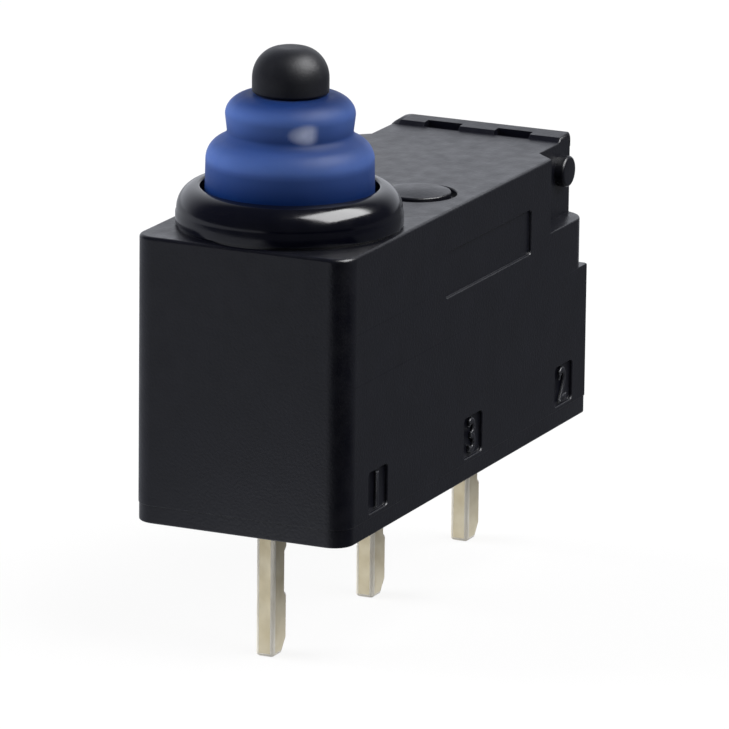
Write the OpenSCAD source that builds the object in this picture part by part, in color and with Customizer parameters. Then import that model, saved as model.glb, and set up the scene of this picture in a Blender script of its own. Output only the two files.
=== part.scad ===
// Sealed subminiature micro switch with a booted push pin and three board terminals.
// X runs along the case from the push pin to the far end, -Y is the marked side, Z = 0 is the board.

/* [Case] */
// Length of the case
case_l = 13.3; // [12.8:0.1:15]
// Width of the case
case_w = 5.3; // [5.1:0.1:6.5]
// Height of the case above the board
case_h = 6.6; // [6.4:0.1:8]
// Thickness of the side walls and of the wall at the push pin
wall = 0.65; // [0.5:0.05:0.8]
// Thickness of the wall at the far end
end_wall = 0.4; // [0.3:0.05:0.5]
// Thickness of the roof round the push pin
roof = 0.85; // [0.6:0.05:1]
// Radius of the upright edges
edge_r = 0.5; // [0.3:0.05:0.6]
// Radius of the edges of the top
top_edge_r = 0.08; // [0.04:0.02:0.2]
// Radius of the edges of the bottom
foot_edge_r = 0.04; // [0.02:0.01:0.1]
// Height of the slightly smaller skirt round the bottom
skirt_h = 0.42; // [0.3:0.02:0.5]
// Depth of the step above the skirt
skirt_step = 0.015; // [0.01:0.005:0.05]

/* [Far end] */
// Width of the narrow head that takes a lever bracket
head_w = 4.32; // [4:0.02:4.5]
// Length of the narrow head
head_l = 1.8; // [1.5:0.05:2]
// Length of the ramps into the narrow head
ramp_l = 0.4; // [0.3:0.05:0.7]
// Height of the ledge under the narrow head
head_z = 4.82; // [4.6:0.01:5.1]
// Height of the ledge above the square foot
foot_ledge_z = 3.63; // [3:0.01:4]
// Radius of the far upright edges between the two ledges
far_edge_r = 0.63; // [0.4:0.01:0.7]
// Radius of the pivot bosses
boss_r = 0.35; // [0.25:0.01:0.45]
// Distance of the pivot bosses from the far end
boss_inset = 0.55; // [0.5:0.01:0.9]
// Depth of the pivot boss centres under the top
boss_drop = 0.68; // [0.5:0.01:0.8]
// Reach of the pivot bosses out of the narrow head
boss_reach = 0.24; // [0.15:0.01:0.4]
// Radius of the pivot bosses' outer edges
boss_edge_r = 0.08; // [0.04:0.01:0.12]
// Thickness of the raised rim along the far end
rim_t = 0.27; // [0.2:0.01:0.35]
// Height of the raised rim above the top
rim_rise = 0.14; // [0.05:0.01:0.18]
// Length of the slope on the rim's inner side
rim_slope = 0.18; // [0.05:0.01:0.19]
// Length of the two slots in front of the rim
slot_l = 0.9; // [0.7:0.05:1]
// Width of the slots
slot_w = 0.28; // [0.2:0.01:0.35]
// Depth of the slots
slot_depth = 0.3; // [0.2:0.02:0.4]
// Distance between the slot centres
slot_pitch = 1.8; // [1.5:0.05:2]

/* [Marks] */
// Length of the bare panel high on the marked side
panel_l = 4.73; // [3:0.01:5.2]
// Height of the bare panel
panel_h = 1.05; // [0.8:0.05:1.1]
// Distance of the panel centre from the case centre
panel_x = 0.97; // [0.6:0.01:1]
// Height of the panel centre
panel_z = 5.1; // [4.9:0.02:5.3]
// Side of the small panel above each terminal
tag_w = 1; // [0.8:0.02:1.1]
// Height of the small panels
tag_h = 0.95; // [0.8:0.05:1]
// Height of the small panel centres
tag_z = 1; // [0.95:0.01:1.2]
// Distance of the first small panel's centre from its terminal's centre
tag_shift = 0.08; // [0:0.02:0.2]
// Further distance of each next small panel's centre from its terminal's centre
tag_lag = 0.15; // [0:0.01:0.2]
// Depth of the bare panel
panel_depth = 0.06; // [0.03:0.01:0.1]
// Depth of the small panels
tag_depth = 0.12; // [0.06:0.01:0.16]
// Radius of the round pad on the top
pad_r = 0.78; // [0.6:0.02:0.9]
// Radius of the pad's upper edge
pad_edge_r = 0.04; // [0.02:0.01:0.06]
// Width of the groove round the pad
pad_groove = 0.14; // [0.06:0.01:0.16]
// Depth of the groove round the pad
pad_groove_depth = 0.14; // [0.08:0.02:0.2]
// Height of the pad's edge above the top
pad_rise = 0.06; // [0.05:0.01:0.08]
// Height of the pad's crown above its edge
pad_crown = 0.07; // [0.02:0.01:0.08]
// Distance of the pad from the case centre along the case
pad_x = -0.05; // [-0.2:0.01:0.4]
// Distance of the pad from the case centre towards the marked side
pad_y = 1.28; // [1:0.01:1.3]

/* [Push pin] */
// Distance of the push pin from the near end
pin_inset = 2.57; // [2.55:0.01:2.7]
// Radius of the pin's head
pin_head_r = 0.865; // [0.75:0.005:0.9]
// Height of the pin's head
pin_head_h = 1.03; // [0.9:0.01:1.2]
// Radius of the head's upper edge
pin_head_edge_r = 0.66; // [0.4:0.02:0.7]
// Radius of the neck that the boot grips
pin_neck_r = 0.62; // [0.5:0.01:0.65]
// Radius of the stem
pin_stem_r = 0.85; // [0.75:0.01:0.9]
// Radius of the foot that stops under the roof
pin_foot_r = 1.2; // [1.1:0.05:1.3]
// Height of the foot
pin_foot_h = 0.4; // [0.3:0.02:0.5]
// Radius of the round nose under the foot
pin_nose_r = 0.5; // [0.4:0.02:0.55]
// Full travel of the pin
pin_travel = 1.5; // [1.2:0.05:1.55]
// Radial clearance of the stem in the case
pin_clear = 0.05; // [0.03:0.01:0.08]

/* [Boot and ring] */
// Outer radius of the ring
ring_r = 2.56; // [2.45:0.01:2.56]
// Height of the ring
ring_h = 0.91; // [0.85:0.01:1.2]
// Width of the ring's opening
ring_bore_d = 4; // [3.95:0.01:4.1]
// Radius of the ring's outer upper edge
ring_edge_r = 0.5; // [0.3:0.02:0.5]
// Radius of the ring's inner upper edge
ring_lip_r = 0.06; // [0.04:0.01:0.06]
// Height of the relief under the ring's foot
ring_relief_h = 0.07; // [0.04:0.01:0.1]
// Depth of the relief under the ring's foot
ring_relief = 0.05; // [0.03:0.01:0.08]
// Radius of the boot's lower tier
boot_low_r = 1.9; // [1.8:0.01:1.92]
// Height of the lower tier above the case
boot_low_h = 1.99; // [1.9:0.01:2.2]
// Edge radius of the lower tier
boot_low_edge_r = 0.48; // [0.3:0.02:0.54]
// Radius of the boot's upper tier
boot_up_r = 1.46; // [1.35:0.01:1.5]
// Height of the upper tier above the case
boot_up_h = 2.99; // [2.9:0.01:3.2]
// Edge radius of the upper tier
boot_up_edge_r = 0.45; // [0.3:0.02:0.48]
// Depth of the waist at the foot of the upper tier
boot_waist = 0.045; // [0.02:0.005:0.08]
// Radius of the hollow between the two tiers
boot_hollow_r = 0.12; // [0.06:0.01:0.15]
// Wall of the boot
boot_wall = 0.34; // [0.3:0.02:0.4]
// Radius of the boot's flange under the ring
boot_flange_r = 2.24; // [2.15:0.01:2.28]
// Height of the boot's flange
boot_flange_h = 0.36; // [0.25:0.02:0.45]
// Clearance round the boot
boot_clear = 0.03; // [0.02:0.01:0.04]

/* [Base] */
// Height of the sealing resin
resin_h = 0.38; // [0.3:0.02:0.5]
// Depth of the resin's face above the board
resin_inset = 0.12; // [0.08:0.02:0.2]
// Height of the base block
base_h = 1.1; // [0.9:0.05:1.3]
// Width of the shoulder in the case that the base meets
shoulder = 0.12; // [0.1:0.01:0.2]
// Clearance of the base in the case
base_clear = 0.03; // [0.02:0.01:0.05]
// Height of the ribs on the base
rib_h = 0.35; // [0.2:0.05:0.5]
// Thickness of the ribs on the base
rib_t = 0.3; // [0.2:0.05:0.4]

/* [Terminals] */
// Distance between the terminals
terminal_pitch = 5.3; // [5.2:0.02:5.34]
// Distance of the first terminal's centre from the near end
terminal_inset = 1.8; // [1.7:0.02:1.84]
// Width of a terminal blade
blade_w = 0.7; // [0.6:0.02:0.74]
// Thickness of a terminal blade
blade_t = 0.46; // [0.4:0.02:0.55]
// Length of a terminal blade below the board
blade_l = 3.2; // [2.5:0.1:4]
// Depth of the neck in a blade's far edge
neck_depth = 0.1; // [0.05:0.01:0.14]
// Start of the neck below the board
neck_start = 0.85; // [0.7:0.05:1]
// Length of the neck
neck_l = 0.9; // [0.6:0.05:1]
// Width of the slant at a blade's tip
tip_w = 0.25; // [0.15:0.01:0.3]
// Height of the slant at a blade's tip
tip_h = 0.32; // [0.2:0.01:0.4]
// Thickness of the inner plates
plate_t = 0.28; // [0.22:0.01:0.32]
// Width of the plain inner plates
plate_w = 0.9; // [0.7:0.05:1]
// Width across the pivot ears
ears_w = 2.6; // [2.5:0.05:2.8]
// Thickness of the pivot ears
ear_t = 0.3; // [0.25:0.01:0.35]
// Length of the pivot ears along the case
ear_l = 0.7; // [0.65:0.01:0.8]
// Gap between the ears and the middle terminal
ear_gap = 0.35; // [0.3:0.05:0.45]
// Distance of the step in the middle terminal's arm from the edge of its contact
step_gap = 0.65; // [0.5:0.05:0.8]

/* [Mechanism] */
// Height of the arm's pivot above the base
arm_pivot_h = 1.5; // [1.45:0.02:1.6]
// Height of the lever's pivot above the base
lever_pivot_h = 0.7; // [0.65:0.02:0.8]
// Height of the ears above the arm's pivot
ear_top = 0.3; // [0.25:0.01:0.4]
// Radius of the pivot tips
tip_r = 0.1; // [0.08:0.01:0.12]
// Clearance of the pivot tips
tip_clear = 0.02; // [0.01:0.005:0.03]
// Depth of the pivot notches in the ears
notch_l = 0.22; // [0.18:0.01:0.25]
// Thickness of the moving arm
arm_t = 0.2; // [0.15:0.01:0.22]
// Thickness of the drive lever
lever_t = 0.24; // [0.2:0.01:0.28]
// Width of the arm and the lever
fork_w = 1.7; // [1.6:0.02:1.8]
// Width of the gap in the forks for the spring
fork_gap = 1; // [0.95:0.01:1.05]
// Distance from the arm's pivot to the moving contact
arm_reach = 4; // [3.8:0.05:4.1]
// Length of the arm past the moving contact
arm_tail = 0.55; // [0.5:0.01:0.6]
// Swing of the arm, in degrees
arm_swing = 5; // [3:0.5:6]
// Length of the lever past the push pin
lever_tail = 0.6; // [0.5:0.05:0.7]
// Running gap between the push pin's nose and the lever
lever_gap = 0.03; // [0.02:0.01:0.05]
// Radius of the contact faces
contact_r = 0.45; // [0.35:0.01:0.5]
// Radius of the contact faces' edges
contact_edge_r = 0.1; // [0.05:0.01:0.14]
// Height of the moving contact's faces
contact_h = 0.22; // [0.15:0.01:0.25]
// Height of the fixed contacts
fixed_h = 0.28; // [0.2:0.01:0.32]
// Radius of the rivet shanks
shank_r = 0.22; // [0.15:0.01:0.25]
// Clearance between touching contact pieces
contact_clear = 0.02; // [0.01:0.005:0.03]

/* [Spring] */
// Radius of the spring's coil
coil_r = 0.34; // [0.25:0.01:0.36]
// Radius of the spring's wire
wire_r = 0.06; // [0.04:0.01:0.07]
// Number of turns
coil_turns = 9; // [6:1:12]
// Height of the spring hooks above the arm and the lever
hook_h = 0.3; // [0.26:0.01:0.34]
// Thickness of the spring hooks
hook_t = 0.16; // [0.12:0.01:0.2]
// Width of the spring hooks
hook_w = 0.6; // [0.5:0.02:0.7]
// Distance of the arm's hook from its pivot
arm_hook = 2.4; // [2.2:0.05:2.6]
// Distance of the lever's hook from its pivot
lever_hook = 1.6; // [1.5:0.05:1.7]

/* [Hidden] */
$fn = 64;
// Overrun of every cut past its face
over = 0.2;
// Small round on the corners that are left square
sharp_r = 0.05;
// Sides of the spring's wire and points on each of its turns
wire_sides = 6;
turn_points = 12;
// Shares of the spring's length that run straight out of a hook and then out to the coil
leg_share = 0.035;
lead_share = 0.06;

// Places of the case
x_near = -case_l / 2;
x_far = case_l / 2;
y_side = case_w / 2;
pin_x = x_near + pin_inset;
head_x = x_far - head_l;
boss_x = x_far - boss_inset;
boss_z = case_h - boss_drop;

// Levels inside the case
base_z = resin_inset + resin_h;
base_top = base_z + base_h;
ceiling_z = case_h - roof;

// Pocket for the base and the smaller room above it
pocket_x0 = x_near + wall - shoulder;
pocket_x1 = x_far - end_wall;
pocket_y = y_side - wall;
room_x0 = pocket_x0 + shoulder;
room_x1 = pocket_x1 - base_clear;
room_y = pocket_y - shoulder;

// Places along the terminals
terminal_x = [for (k = [0:2]) x_near + terminal_inset + k * terminal_pitch];
ear_x1 = terminal_x[1] - blade_w / 2 - ear_gap;
ear_x0 = ear_x1 - ear_l;
ear_y = ears_w / 2 - ear_t;
notch_r = tip_r + tip_clear;
arm_pivot = [ear_x1 - notch_l, base_top + arm_pivot_h];
lever_pivot = [ear_x0 + notch_l, base_top + lever_pivot_h];
contact_x = arm_pivot.x + arm_reach;

// The lever's slope keeps the same gap under the nose at both ends of the travel
foot_z = ceiling_z - pin_clear - pin_foot_h;
nose_z = foot_z;
lever_drop = pin_nose_r + lever_t / 2 + lever_gap;
lever_run = lever_pivot.x - pin_x;
function lever_slope(rise) = acos(lever_drop / norm([rise, lever_run])) - atan2(lever_run, rise);
lever_rest = lever_slope(nose_z - lever_pivot.y);
lever_swing = lever_rest - lever_slope(nose_z - pin_travel - lever_pivot.y);
lever_l = (lever_run + lever_tail) / cos(lever_rest);

// Contact faces: the closed one at rest and the open one at the end of the swing
moving_h = arm_t / 2 + contact_h;
closed_face = arm_pivot.y + moving_h + contact_clear;
contact_fall = (arm_reach + contact_r) * sin(arm_swing);
open_face = arm_pivot.y - contact_fall - moving_h * cos(arm_swing) - contact_clear;
closed_arm_z = closed_face + fixed_h;
open_arm_z = open_face - fixed_h;
far_ceiling_z = closed_arm_z + plate_t + wall / 2;
shank_hole_r = shank_r + contact_clear;

// Spring ends, at the hooks' holes
hook_hole_r = (wire_r + tip_clear) * 2;
arm_hook_end = arm_pivot + [arm_hook, hook_h];
lever_hook_end = lever_pivot + [
    -lever_hook * cos(lever_rest) + hook_h * sin(lever_rest),
    lever_hook * sin(lever_rest) + hook_h * cos(lever_rest)
];

// Levels of the boot and the push pin above the case
boot_low_z = case_h + boot_low_h;
boot_up_z = case_h + boot_up_h;
boot_top_inner_z = boot_up_z - boot_wall;
pin_head_z = boot_up_z + boot_clear;
pin_top_z = pin_head_z + pin_head_h;
ring_top_z = case_h + ring_h;

// Flat shapes

// Rectangle between two corners
module span(a, b) {
    translate(a)
        square(b - a);
}

// Rectangle between two corners whose four corner radii are given, starting low left and turning left
module soft_span(a, b, r0, r1, r2, r3) {
    corners = [
        [a.x, a.y, r0, 1, 1], [b.x, a.y, r1, -1, 1],
        [b.x, b.y, r2, -1, -1], [a.x, b.y, r3, 1, -1]
    ];
    difference() {
        span(a, b);
        for (c = corners)
            difference() {
                translate([c.x, c.y])
                    square(c[2] * 2, center = true);
                translate([c.x + c[3] * c[2], c.y + c[4] * c[2]])
                    circle(c[2]);
                translate([c.x + c[3] * c[2], c.y + c[4] * c[2]])
                    span([-c[2] * (1 - c[3]), -c[2] * 2], [c[2] * (1 + c[3]), c[2] * 2]);
                translate([c.x + c[3] * c[2], c.y + c[4] * c[2]])
                    span([-c[2] * 2, -c[2] * (1 - c[4])], [c[2] * 2, c[2] * (1 + c[4])]);
            }
    }
}

// Half section of a turned tier whose upper edge is round
module tier(r, z0, z1, edge_r) {
    span([0, z0], [r, z1 - edge_r]);
    span([0, z0], [r - edge_r, z1]);
    translate([r - edge_r, z1 - edge_r])
        intersection() {
            circle(edge_r);
            span([0, 0], [edge_r, edge_r]);
        }
}

// A flat shape drawn in X and Z, given a width about the middle plane
module across(width) {
    translate([0, width / 2, 0])
        rotate([90, 0, 0])
            linear_extrude(width)
                children();
}

// A flat shape drawn in Y and Z, given a length along X
module along(x0, x1) {
    translate([x0, 0, 0])
        rotate([90, 0, 90])
            linear_extrude(x1 - x0)
                children();
}

// A copy on each side of the middle plane
module both_sides() {
    children();
    mirror([0, 1, 0])
        children();
}

// Case

// Plan of the case with the far corners' radius
module case_plan(far_r, inset) {
    soft_span(
        [x_near + inset, -y_side + inset], [x_far - inset, y_side - inset],
        edge_r, far_r, far_r, edge_r
    );
}

// Outer form: stacked plans, with round top and bottom edges all along
module case_form() {
    intersection() {
        union() {
            linear_extrude(skirt_h)
                case_plan(sharp_r, skirt_step);
            translate([0, 0, skirt_h])
                linear_extrude(foot_ledge_z - skirt_h)
                    case_plan(sharp_r, 0);
            translate([0, 0, foot_ledge_z])
                linear_extrude(head_z - foot_ledge_z)
                    case_plan(far_edge_r, 0);
            translate([0, 0, head_z])
                linear_extrude(case_h - head_z)
                    case_plan(sharp_r, 0);
        }
        across(case_w)
            soft_span([x_near, 0], [x_far, case_h], foot_edge_r, foot_edge_r, sharp_r, top_edge_r);
        along(x_near, x_far)
            soft_span([-y_side, 0], [y_side, case_h], foot_edge_r, foot_edge_r, top_edge_r, top_edge_r);
    }
}

// Cut beside the narrow head, with its ramp
module head_cut() {
    translate([0, 0, head_z])
        linear_extrude(case_h - head_z + over)
            polygon([
                [head_x - ramp_l - over, y_side + over],
                [head_x - ramp_l - over, y_side + over * (y_side - head_w / 2) / ramp_l],
                [head_x, head_w / 2],
                [x_far + over, head_w / 2],
                [x_far + over, y_side + over]
            ]);
}

// Round boss that a lever bracket pivots on
module pivot_boss() {
    translate([boss_x, head_w / 2, boss_z])
        rotate([-90, 0, 0])
            rotate_extrude()
                tier(boss_r, 0, boss_reach, boss_edge_r);
}

// Round pad with a soft edge and a low crown
module pad_form() {
    flat_r = pad_r - pad_edge_r;
    crown_r = (flat_r * flat_r + pad_crown * pad_crown) / (2 * pad_crown);
    translate([pad_x, -pad_y, case_h])
        rotate_extrude() {
            tier(pad_r, -pad_groove_depth, pad_rise, pad_edge_r);
            intersection() {
                translate([0, pad_rise + pad_crown - crown_r])
                    circle(crown_r, $fn = 360);
                span([0, 0], [flat_r, pad_rise + pad_crown]);
            }
        }
}

// Groove round the pad
module pad_groove_form() {
    translate([pad_x, -pad_y, case_h - pad_groove_depth])
        rotate_extrude()
            span([pad_r, 0], [pad_r + pad_groove, pad_groove_depth + over]);
}

// Shallow panel in the marked side
module side_panel(x, z, w, h, depth) {
    translate([x - w / 2, -y_side - over, z - h / 2])
        cube([w, over + depth, h]);
}

// Pocket for the base, the room of the mechanism and the lower room at the far end
module case_room() {
    translate([pocket_x0, -pocket_y, -over])
        cube([pocket_x1 - pocket_x0, pocket_y * 2, base_top + over]);
    across(room_y * 2)
        polygon([
            [room_x0, base_top - over],
            [room_x1, base_top - over],
            [room_x1, far_ceiling_z],
            [head_x - ramp_l - wall, far_ceiling_z],
            [head_x - ramp_l - wall, ceiling_z],
            [room_x0, ceiling_z]
        ]);
}

// Slots in front of the rim
module rim_slots() {
    both_sides()
        translate([x_far - rim_t - slot_w, slot_pitch / 2 - slot_l / 2, case_h - slot_depth])
            cube([slot_w, slot_l, slot_depth + over]);
}

// Raised rim along the far end, sloped on its inner side
module far_rim() {
    across(head_w)
        polygon([
            [x_far - rim_t, case_h - rim_rise],
            [x_far, case_h - rim_rise],
            [x_far, case_h + rim_rise - sharp_r],
            [x_far - sharp_r, case_h + rim_rise],
            [x_far - rim_t + rim_slope, case_h + rim_rise],
            [x_far - rim_t, case_h]
        ]);
}

// Moulded housing
module case() {
    color("#26292d")
        difference() {
            union() {
                difference() {
                    case_form();
                    both_sides()
                        head_cut();
                }
                far_rim();
                both_sides()
                    pivot_boss();
                pad_form();
            }
            pad_groove_form();
            rim_slots();
            case_room();
            translate([pin_x, 0, ceiling_z - over])
                cylinder(h = roof + over * 2, r = pin_stem_r + pin_clear);
            side_panel(panel_x, panel_z, panel_l, panel_h, panel_depth);
            for (k = [0:2])
                side_panel(terminal_x[k] - tag_shift - k * tag_lag, tag_z, tag_w, tag_h, tag_depth);
        }
}

// Base and resin

// Holes that the terminals pass through
module blade_holes(z0, z1) {
    for (x = terminal_x)
        translate([x - blade_w / 2, -blade_t / 2, z0 - over])
            cube([blade_w, blade_t, z1 - z0 + over * 2]);
}

// Insulating block with two ribs beside the common plate
module base() {
    color("#2c2a2a")
        difference() {
            union() {
                translate([pocket_x0 + base_clear, -pocket_y + base_clear, base_z])
                    cube([pocket_x1 - pocket_x0 - base_clear * 2, (pocket_y - base_clear) * 2, base_h]);
                both_sides()
                    translate([terminal_x[0], plate_w / 2 + base_clear, base_top - rib_t])
                        cube([ear_x0 - base_clear - terminal_x[0], rib_t, rib_t + rib_h]);
            }
            blade_holes(base_z, base_top);
        }
}

// Potting that fills the pocket under the base
module sealing_resin() {
    color("#1d1c1c")
        difference() {
            translate([pocket_x0, -pocket_y, resin_inset])
                cube([pocket_x1 - pocket_x0, pocket_y * 2, resin_h]);
            blade_holes(resin_inset, base_z);
        }
}

// Ring, boot and push pin

// Glossy ring over the boot's flange
module retaining_ring() {
    ring_bore_r = ring_bore_d / 2;
    flange_room_r = boot_flange_r + boot_clear;
    flange_room_z = case_h + boot_flange_h + boot_clear;
    color("#101113")
        translate([pin_x, 0, 0])
            rotate_extrude($fn = 96)
                difference() {
                    tier(ring_r, case_h, ring_top_z, ring_edge_r);
                    span([0, case_h - over], [ring_bore_r, ring_top_z + over]);
                    span([0, case_h - over], [flange_room_r, flange_room_z]);
                    span([ring_r - ring_relief, case_h - over], [ring_r + over, case_h + ring_relief_h]);
                    difference() {
                        lip = [ring_bore_r + ring_lip_r, ring_top_z - ring_lip_r];
                        span([ring_bore_r, lip.y], [lip.x, ring_top_z + over]);
                        translate(lip)
                            circle(ring_lip_r);
                    }
                }
}

// Soft boot in two tiers, with a flange below and a lip round the pin's neck
module rubber_boot() {
    waist_r = boot_up_r - boot_waist;
    color("#2f4fa8")
        translate([pin_x, 0, 0])
            rotate_extrude($fn = 96)
                difference() {
                    union() {
                        span([0, case_h], [boot_flange_r, case_h + boot_flange_h]);
                        tier(boot_low_r, case_h, boot_low_z, boot_low_edge_r);
                        tier(boot_up_r, boot_up_z - boot_up_edge_r * 2, boot_up_z, boot_up_edge_r);
                        polygon([
                            [0, boot_low_z - boot_wall],
                            [waist_r, boot_low_z - boot_wall],
                            [waist_r, boot_low_z],
                            [boot_up_r, boot_up_z - boot_up_edge_r],
                            [0, boot_up_z - boot_up_edge_r]
                        ]);
                        difference() {
                            span([0, boot_low_z], [waist_r + boot_hollow_r, boot_low_z + boot_hollow_r]);
                            translate([waist_r + boot_hollow_r, boot_low_z + boot_hollow_r])
                                circle(boot_hollow_r);
                        }
                    }
                    span([0, case_h - over], [pin_neck_r + boot_clear, boot_up_z + over]);
                    tier(
                        boot_low_r - boot_wall, case_h - over, boot_low_z - boot_wall,
                        boot_low_edge_r - boot_wall / 2
                    );
                    tier(
                        waist_r - boot_wall, case_h, boot_top_inner_z,
                        boot_up_edge_r - boot_wall
                    );
                }
}

// Push pin: rounded head, gripped neck, stem, stop foot and round nose
module plunger() {
    stem_top_z = boot_top_inner_z - boot_clear;
    color("#2b2d30")
        translate([pin_x, 0, 0]) {
            rotate_extrude() {
                tier(pin_head_r, pin_head_z, pin_top_z, pin_head_edge_r);
                span([0, foot_z], [pin_neck_r, pin_head_z]);
                span([0, foot_z], [pin_stem_r, stem_top_z]);
                span([0, foot_z], [pin_foot_r, foot_z + pin_foot_h]);
            }
            rotate_extrude()
                difference() {
                    translate([0, nose_z])
                        circle(pin_nose_r);
                    span([-pin_nose_r - over, -case_h], [0, case_h * 2]);
                    span([0, foot_z + pin_foot_h / 2], [pin_nose_r + over, case_h * 2]);
                }
        }
}

// Terminals and contacts

// Blade below the board, with its neck and slanted tip, up to a given height
module blade(x, z1) {
    left = x - blade_w / 2;
    right = x + blade_w / 2;
    neck_z = -neck_start - neck_l;
    across(blade_t)
        polygon([
            [left, z1],
            [left, -blade_l + sharp_r],
            [left + sharp_r, -blade_l],
            [right - tip_w, -blade_l],
            [right, -blade_l + tip_h],
            [right, neck_z - neck_depth],
            [right - neck_depth, neck_z],
            [right - neck_depth, -neck_start],
            [right, -neck_start + neck_depth],
            [right, z1]
        ]);
}

// Notch for a pivot tip, open towards one side of the ear
module ear_notch(pivot, open_x) {
    translate([pivot.x, pivot.y])
        circle(notch_r);
    span(
        [min(pivot.x, open_x), pivot.y - notch_r],
        [max(pivot.x, open_x), pivot.y + notch_r]
    );
}

// Terminal 1: blade, plate along the base and two notched ears
module common_terminal() {
    color("#c9bd9c") {
        blade(terminal_x[0], base_top + plate_t);
        translate([terminal_x[0] - blade_w / 2, -plate_w / 2, base_top])
            cube([ear_x0 + ear_t - terminal_x[0] + blade_w / 2, plate_w, plate_t]);
        translate([ear_x0, -ears_w / 2, base_top])
            cube([ear_l, ears_w, plate_t]);
        both_sides()
            translate([0, ears_w / 2 - ear_t / 2, 0])
                across(ear_t)
                    difference() {
                        soft_span(
                            [ear_x0, base_top], [ear_x1, arm_pivot.y + ear_top],
                            sharp_r, sharp_r, notch_r, notch_r
                        );
                        ear_notch(arm_pivot, ear_x1 + over);
                        ear_notch(lever_pivot, ear_x0 - over);
                    }
    }
}

// Terminal 3: blade and an arm that steps up under the moving contact
module normally_open_terminal() {
    x0 = terminal_x[1] - blade_w / 2;
    x1 = contact_x + arm_tail;
    step_x = contact_x - contact_r - step_gap;
    step_l = open_arm_z - base_top - plate_t;
    color("#c9bd9c")
        difference() {
            union() {
                blade(terminal_x[1], base_top + plate_t);
                across(plate_w)
                    polygon([
                        [x0, base_top],
                        [step_x, base_top],
                        [step_x + step_l, open_arm_z - plate_t],
                        [x1, open_arm_z - plate_t],
                        [x1, open_arm_z],
                        [step_x + step_l - plate_t / 2, open_arm_z],
                        [step_x - plate_t / 2, base_top + plate_t],
                        [x0, base_top + plate_t]
                    ]);
            }
            shank_hole(open_arm_z);
        }
}

// Terminal 2: blade, riser and an arm over the moving contact
module normally_closed_terminal() {
    x0 = contact_x - arm_tail;
    x1 = terminal_x[2] + blade_w / 2;
    color("#c9bd9c")
        difference() {
            union() {
                blade(terminal_x[2], closed_arm_z + plate_t);
                translate([x0, -plate_w / 2, closed_arm_z])
                    cube([x1 - x0, plate_w, plate_t]);
            }
            shank_hole(closed_arm_z + plate_t);
        }
}

// Hole for a rivet through the plate whose top is given
module shank_hole(top) {
    translate([contact_x, 0, top - plate_t - over])
        cylinder(h = plate_t + over * 2, r = shank_hole_r);
}

// Rivet with a broad round-edged face over its seat and a shank, turned about the contact's place
module rivet(seat_z, face_z, shank_z) {
    translate([contact_x, 0, seat_z])
        rotate([face_z < seat_z ? 180 : 0, 0, 0])
            rotate_extrude() {
                tier(contact_r, 0, abs(face_z - seat_z), contact_edge_r);
                span([0, -abs(shank_z - seat_z)], [shank_r, 0]);
            }
}

// Fixed contact under the moving one
module normally_open_contact() {
    color("#d8d4c8")
        rivet(open_arm_z, open_face, open_arm_z - plate_t);
}

// Fixed contact over the moving one
module normally_closed_contact() {
    color("#d8d4c8")
        rivet(closed_arm_z, closed_face, closed_arm_z + plate_t);
}

// Moving pieces

// Pivot tips that reach through both ears
module pivot_tips() {
    both_sides()
        translate([0, ears_w / 2, 0])
            rotate([90, 0, 0])
                cylinder(h = (ears_w - fork_gap) / 2, r = tip_r);
}

// Upright hook with a hole for the spring's end, in the frame of its carrier
module spring_hook(x) {
    rise = hook_h + hook_hole_r + hook_t;
    translate([x, 0, 0])
        difference() {
            translate([-hook_t / 2, -hook_w / 2, 0])
                cube([hook_t, hook_w, rise]);
            translate([-hook_t, 0, hook_h])
                rotate([0, 90, 0])
                    cylinder(h = hook_t * 2, r = hook_hole_r);
        }
}

// Fork along +X from a pivot at the origin, with its gap, tips and spring hook
module fork(length, t, hook_x) {
    gap_l = hook_x - hook_t / 2;
    difference() {
        translate([-tip_r, -fork_w / 2, -t / 2])
            cube([length + tip_r, fork_w, t]);
        translate([-tip_r - over, -fork_gap / 2, -t / 2 - over])
            cube([gap_l + tip_r + over, fork_gap, t + over * 2]);
    }
    pivot_tips();
    spring_hook(hook_x);
}

// Moving arm, level at rest
module contact_arm() {
    color("#b98a4e")
        difference() {
            translate([arm_pivot.x, 0, arm_pivot.y])
                fork(arm_reach + arm_tail, arm_t, arm_hook);
            translate([contact_x, 0, arm_pivot.y - arm_t])
                cylinder(h = arm_t * 2, r = shank_hole_r);
        }
}

// Rivet with a face on both sides of the arm
module moving_contact() {
    color("#d8d4c8") {
        rivet(arm_pivot.y + arm_t / 2, arm_pivot.y + moving_h, arm_pivot.y);
        rivet(arm_pivot.y - arm_t / 2, arm_pivot.y - moving_h, arm_pivot.y);
    }
}

// Lever that slopes up from its pivot to the push pin's nose
module drive_lever() {
    color("#b98a4e")
        translate([lever_pivot.x, 0, lever_pivot.y])
            rotate([0, lever_rest, 0])
                mirror([1, 0, 0])
                    fork(lever_l, lever_t, lever_hook);
}

// Spring between the two hooks

// Centre line: out of one hook, round the coil and into the other
coil_steps = coil_turns * turn_points;
spring_run = arm_hook_end - lever_hook_end;
function lead(u) = max(0, min(1, (u - leg_share) / lead_share, (1 - leg_share - u) / lead_share));
function coil_angle(u) = 360 * coil_turns * u;
function radial(u) = [0, cos(coil_angle(u)), sin(coil_angle(u))];
function spring_point(u) =
    [lever_hook_end.x + spring_run.x * u, 0, lever_hook_end.y + spring_run.y * u]
    + radial(u) * coil_r * lead(u);
function unit(v) = v / norm(v);
function spring_way(u) =
    unit(spring_point(min(1, u + 1 / coil_steps)) - spring_point(max(0, u - 1 / coil_steps)));
function wire_ring(u) =
    let (side = unit(cross(spring_way(u), radial(u))), out = cross(side, spring_way(u)))
    [for (k = [0:wire_sides - 1])
        spring_point(u) + wire_r * (cos(360 * k / wire_sides) * out + sin(360 * k / wire_sides) * side)];

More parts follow.
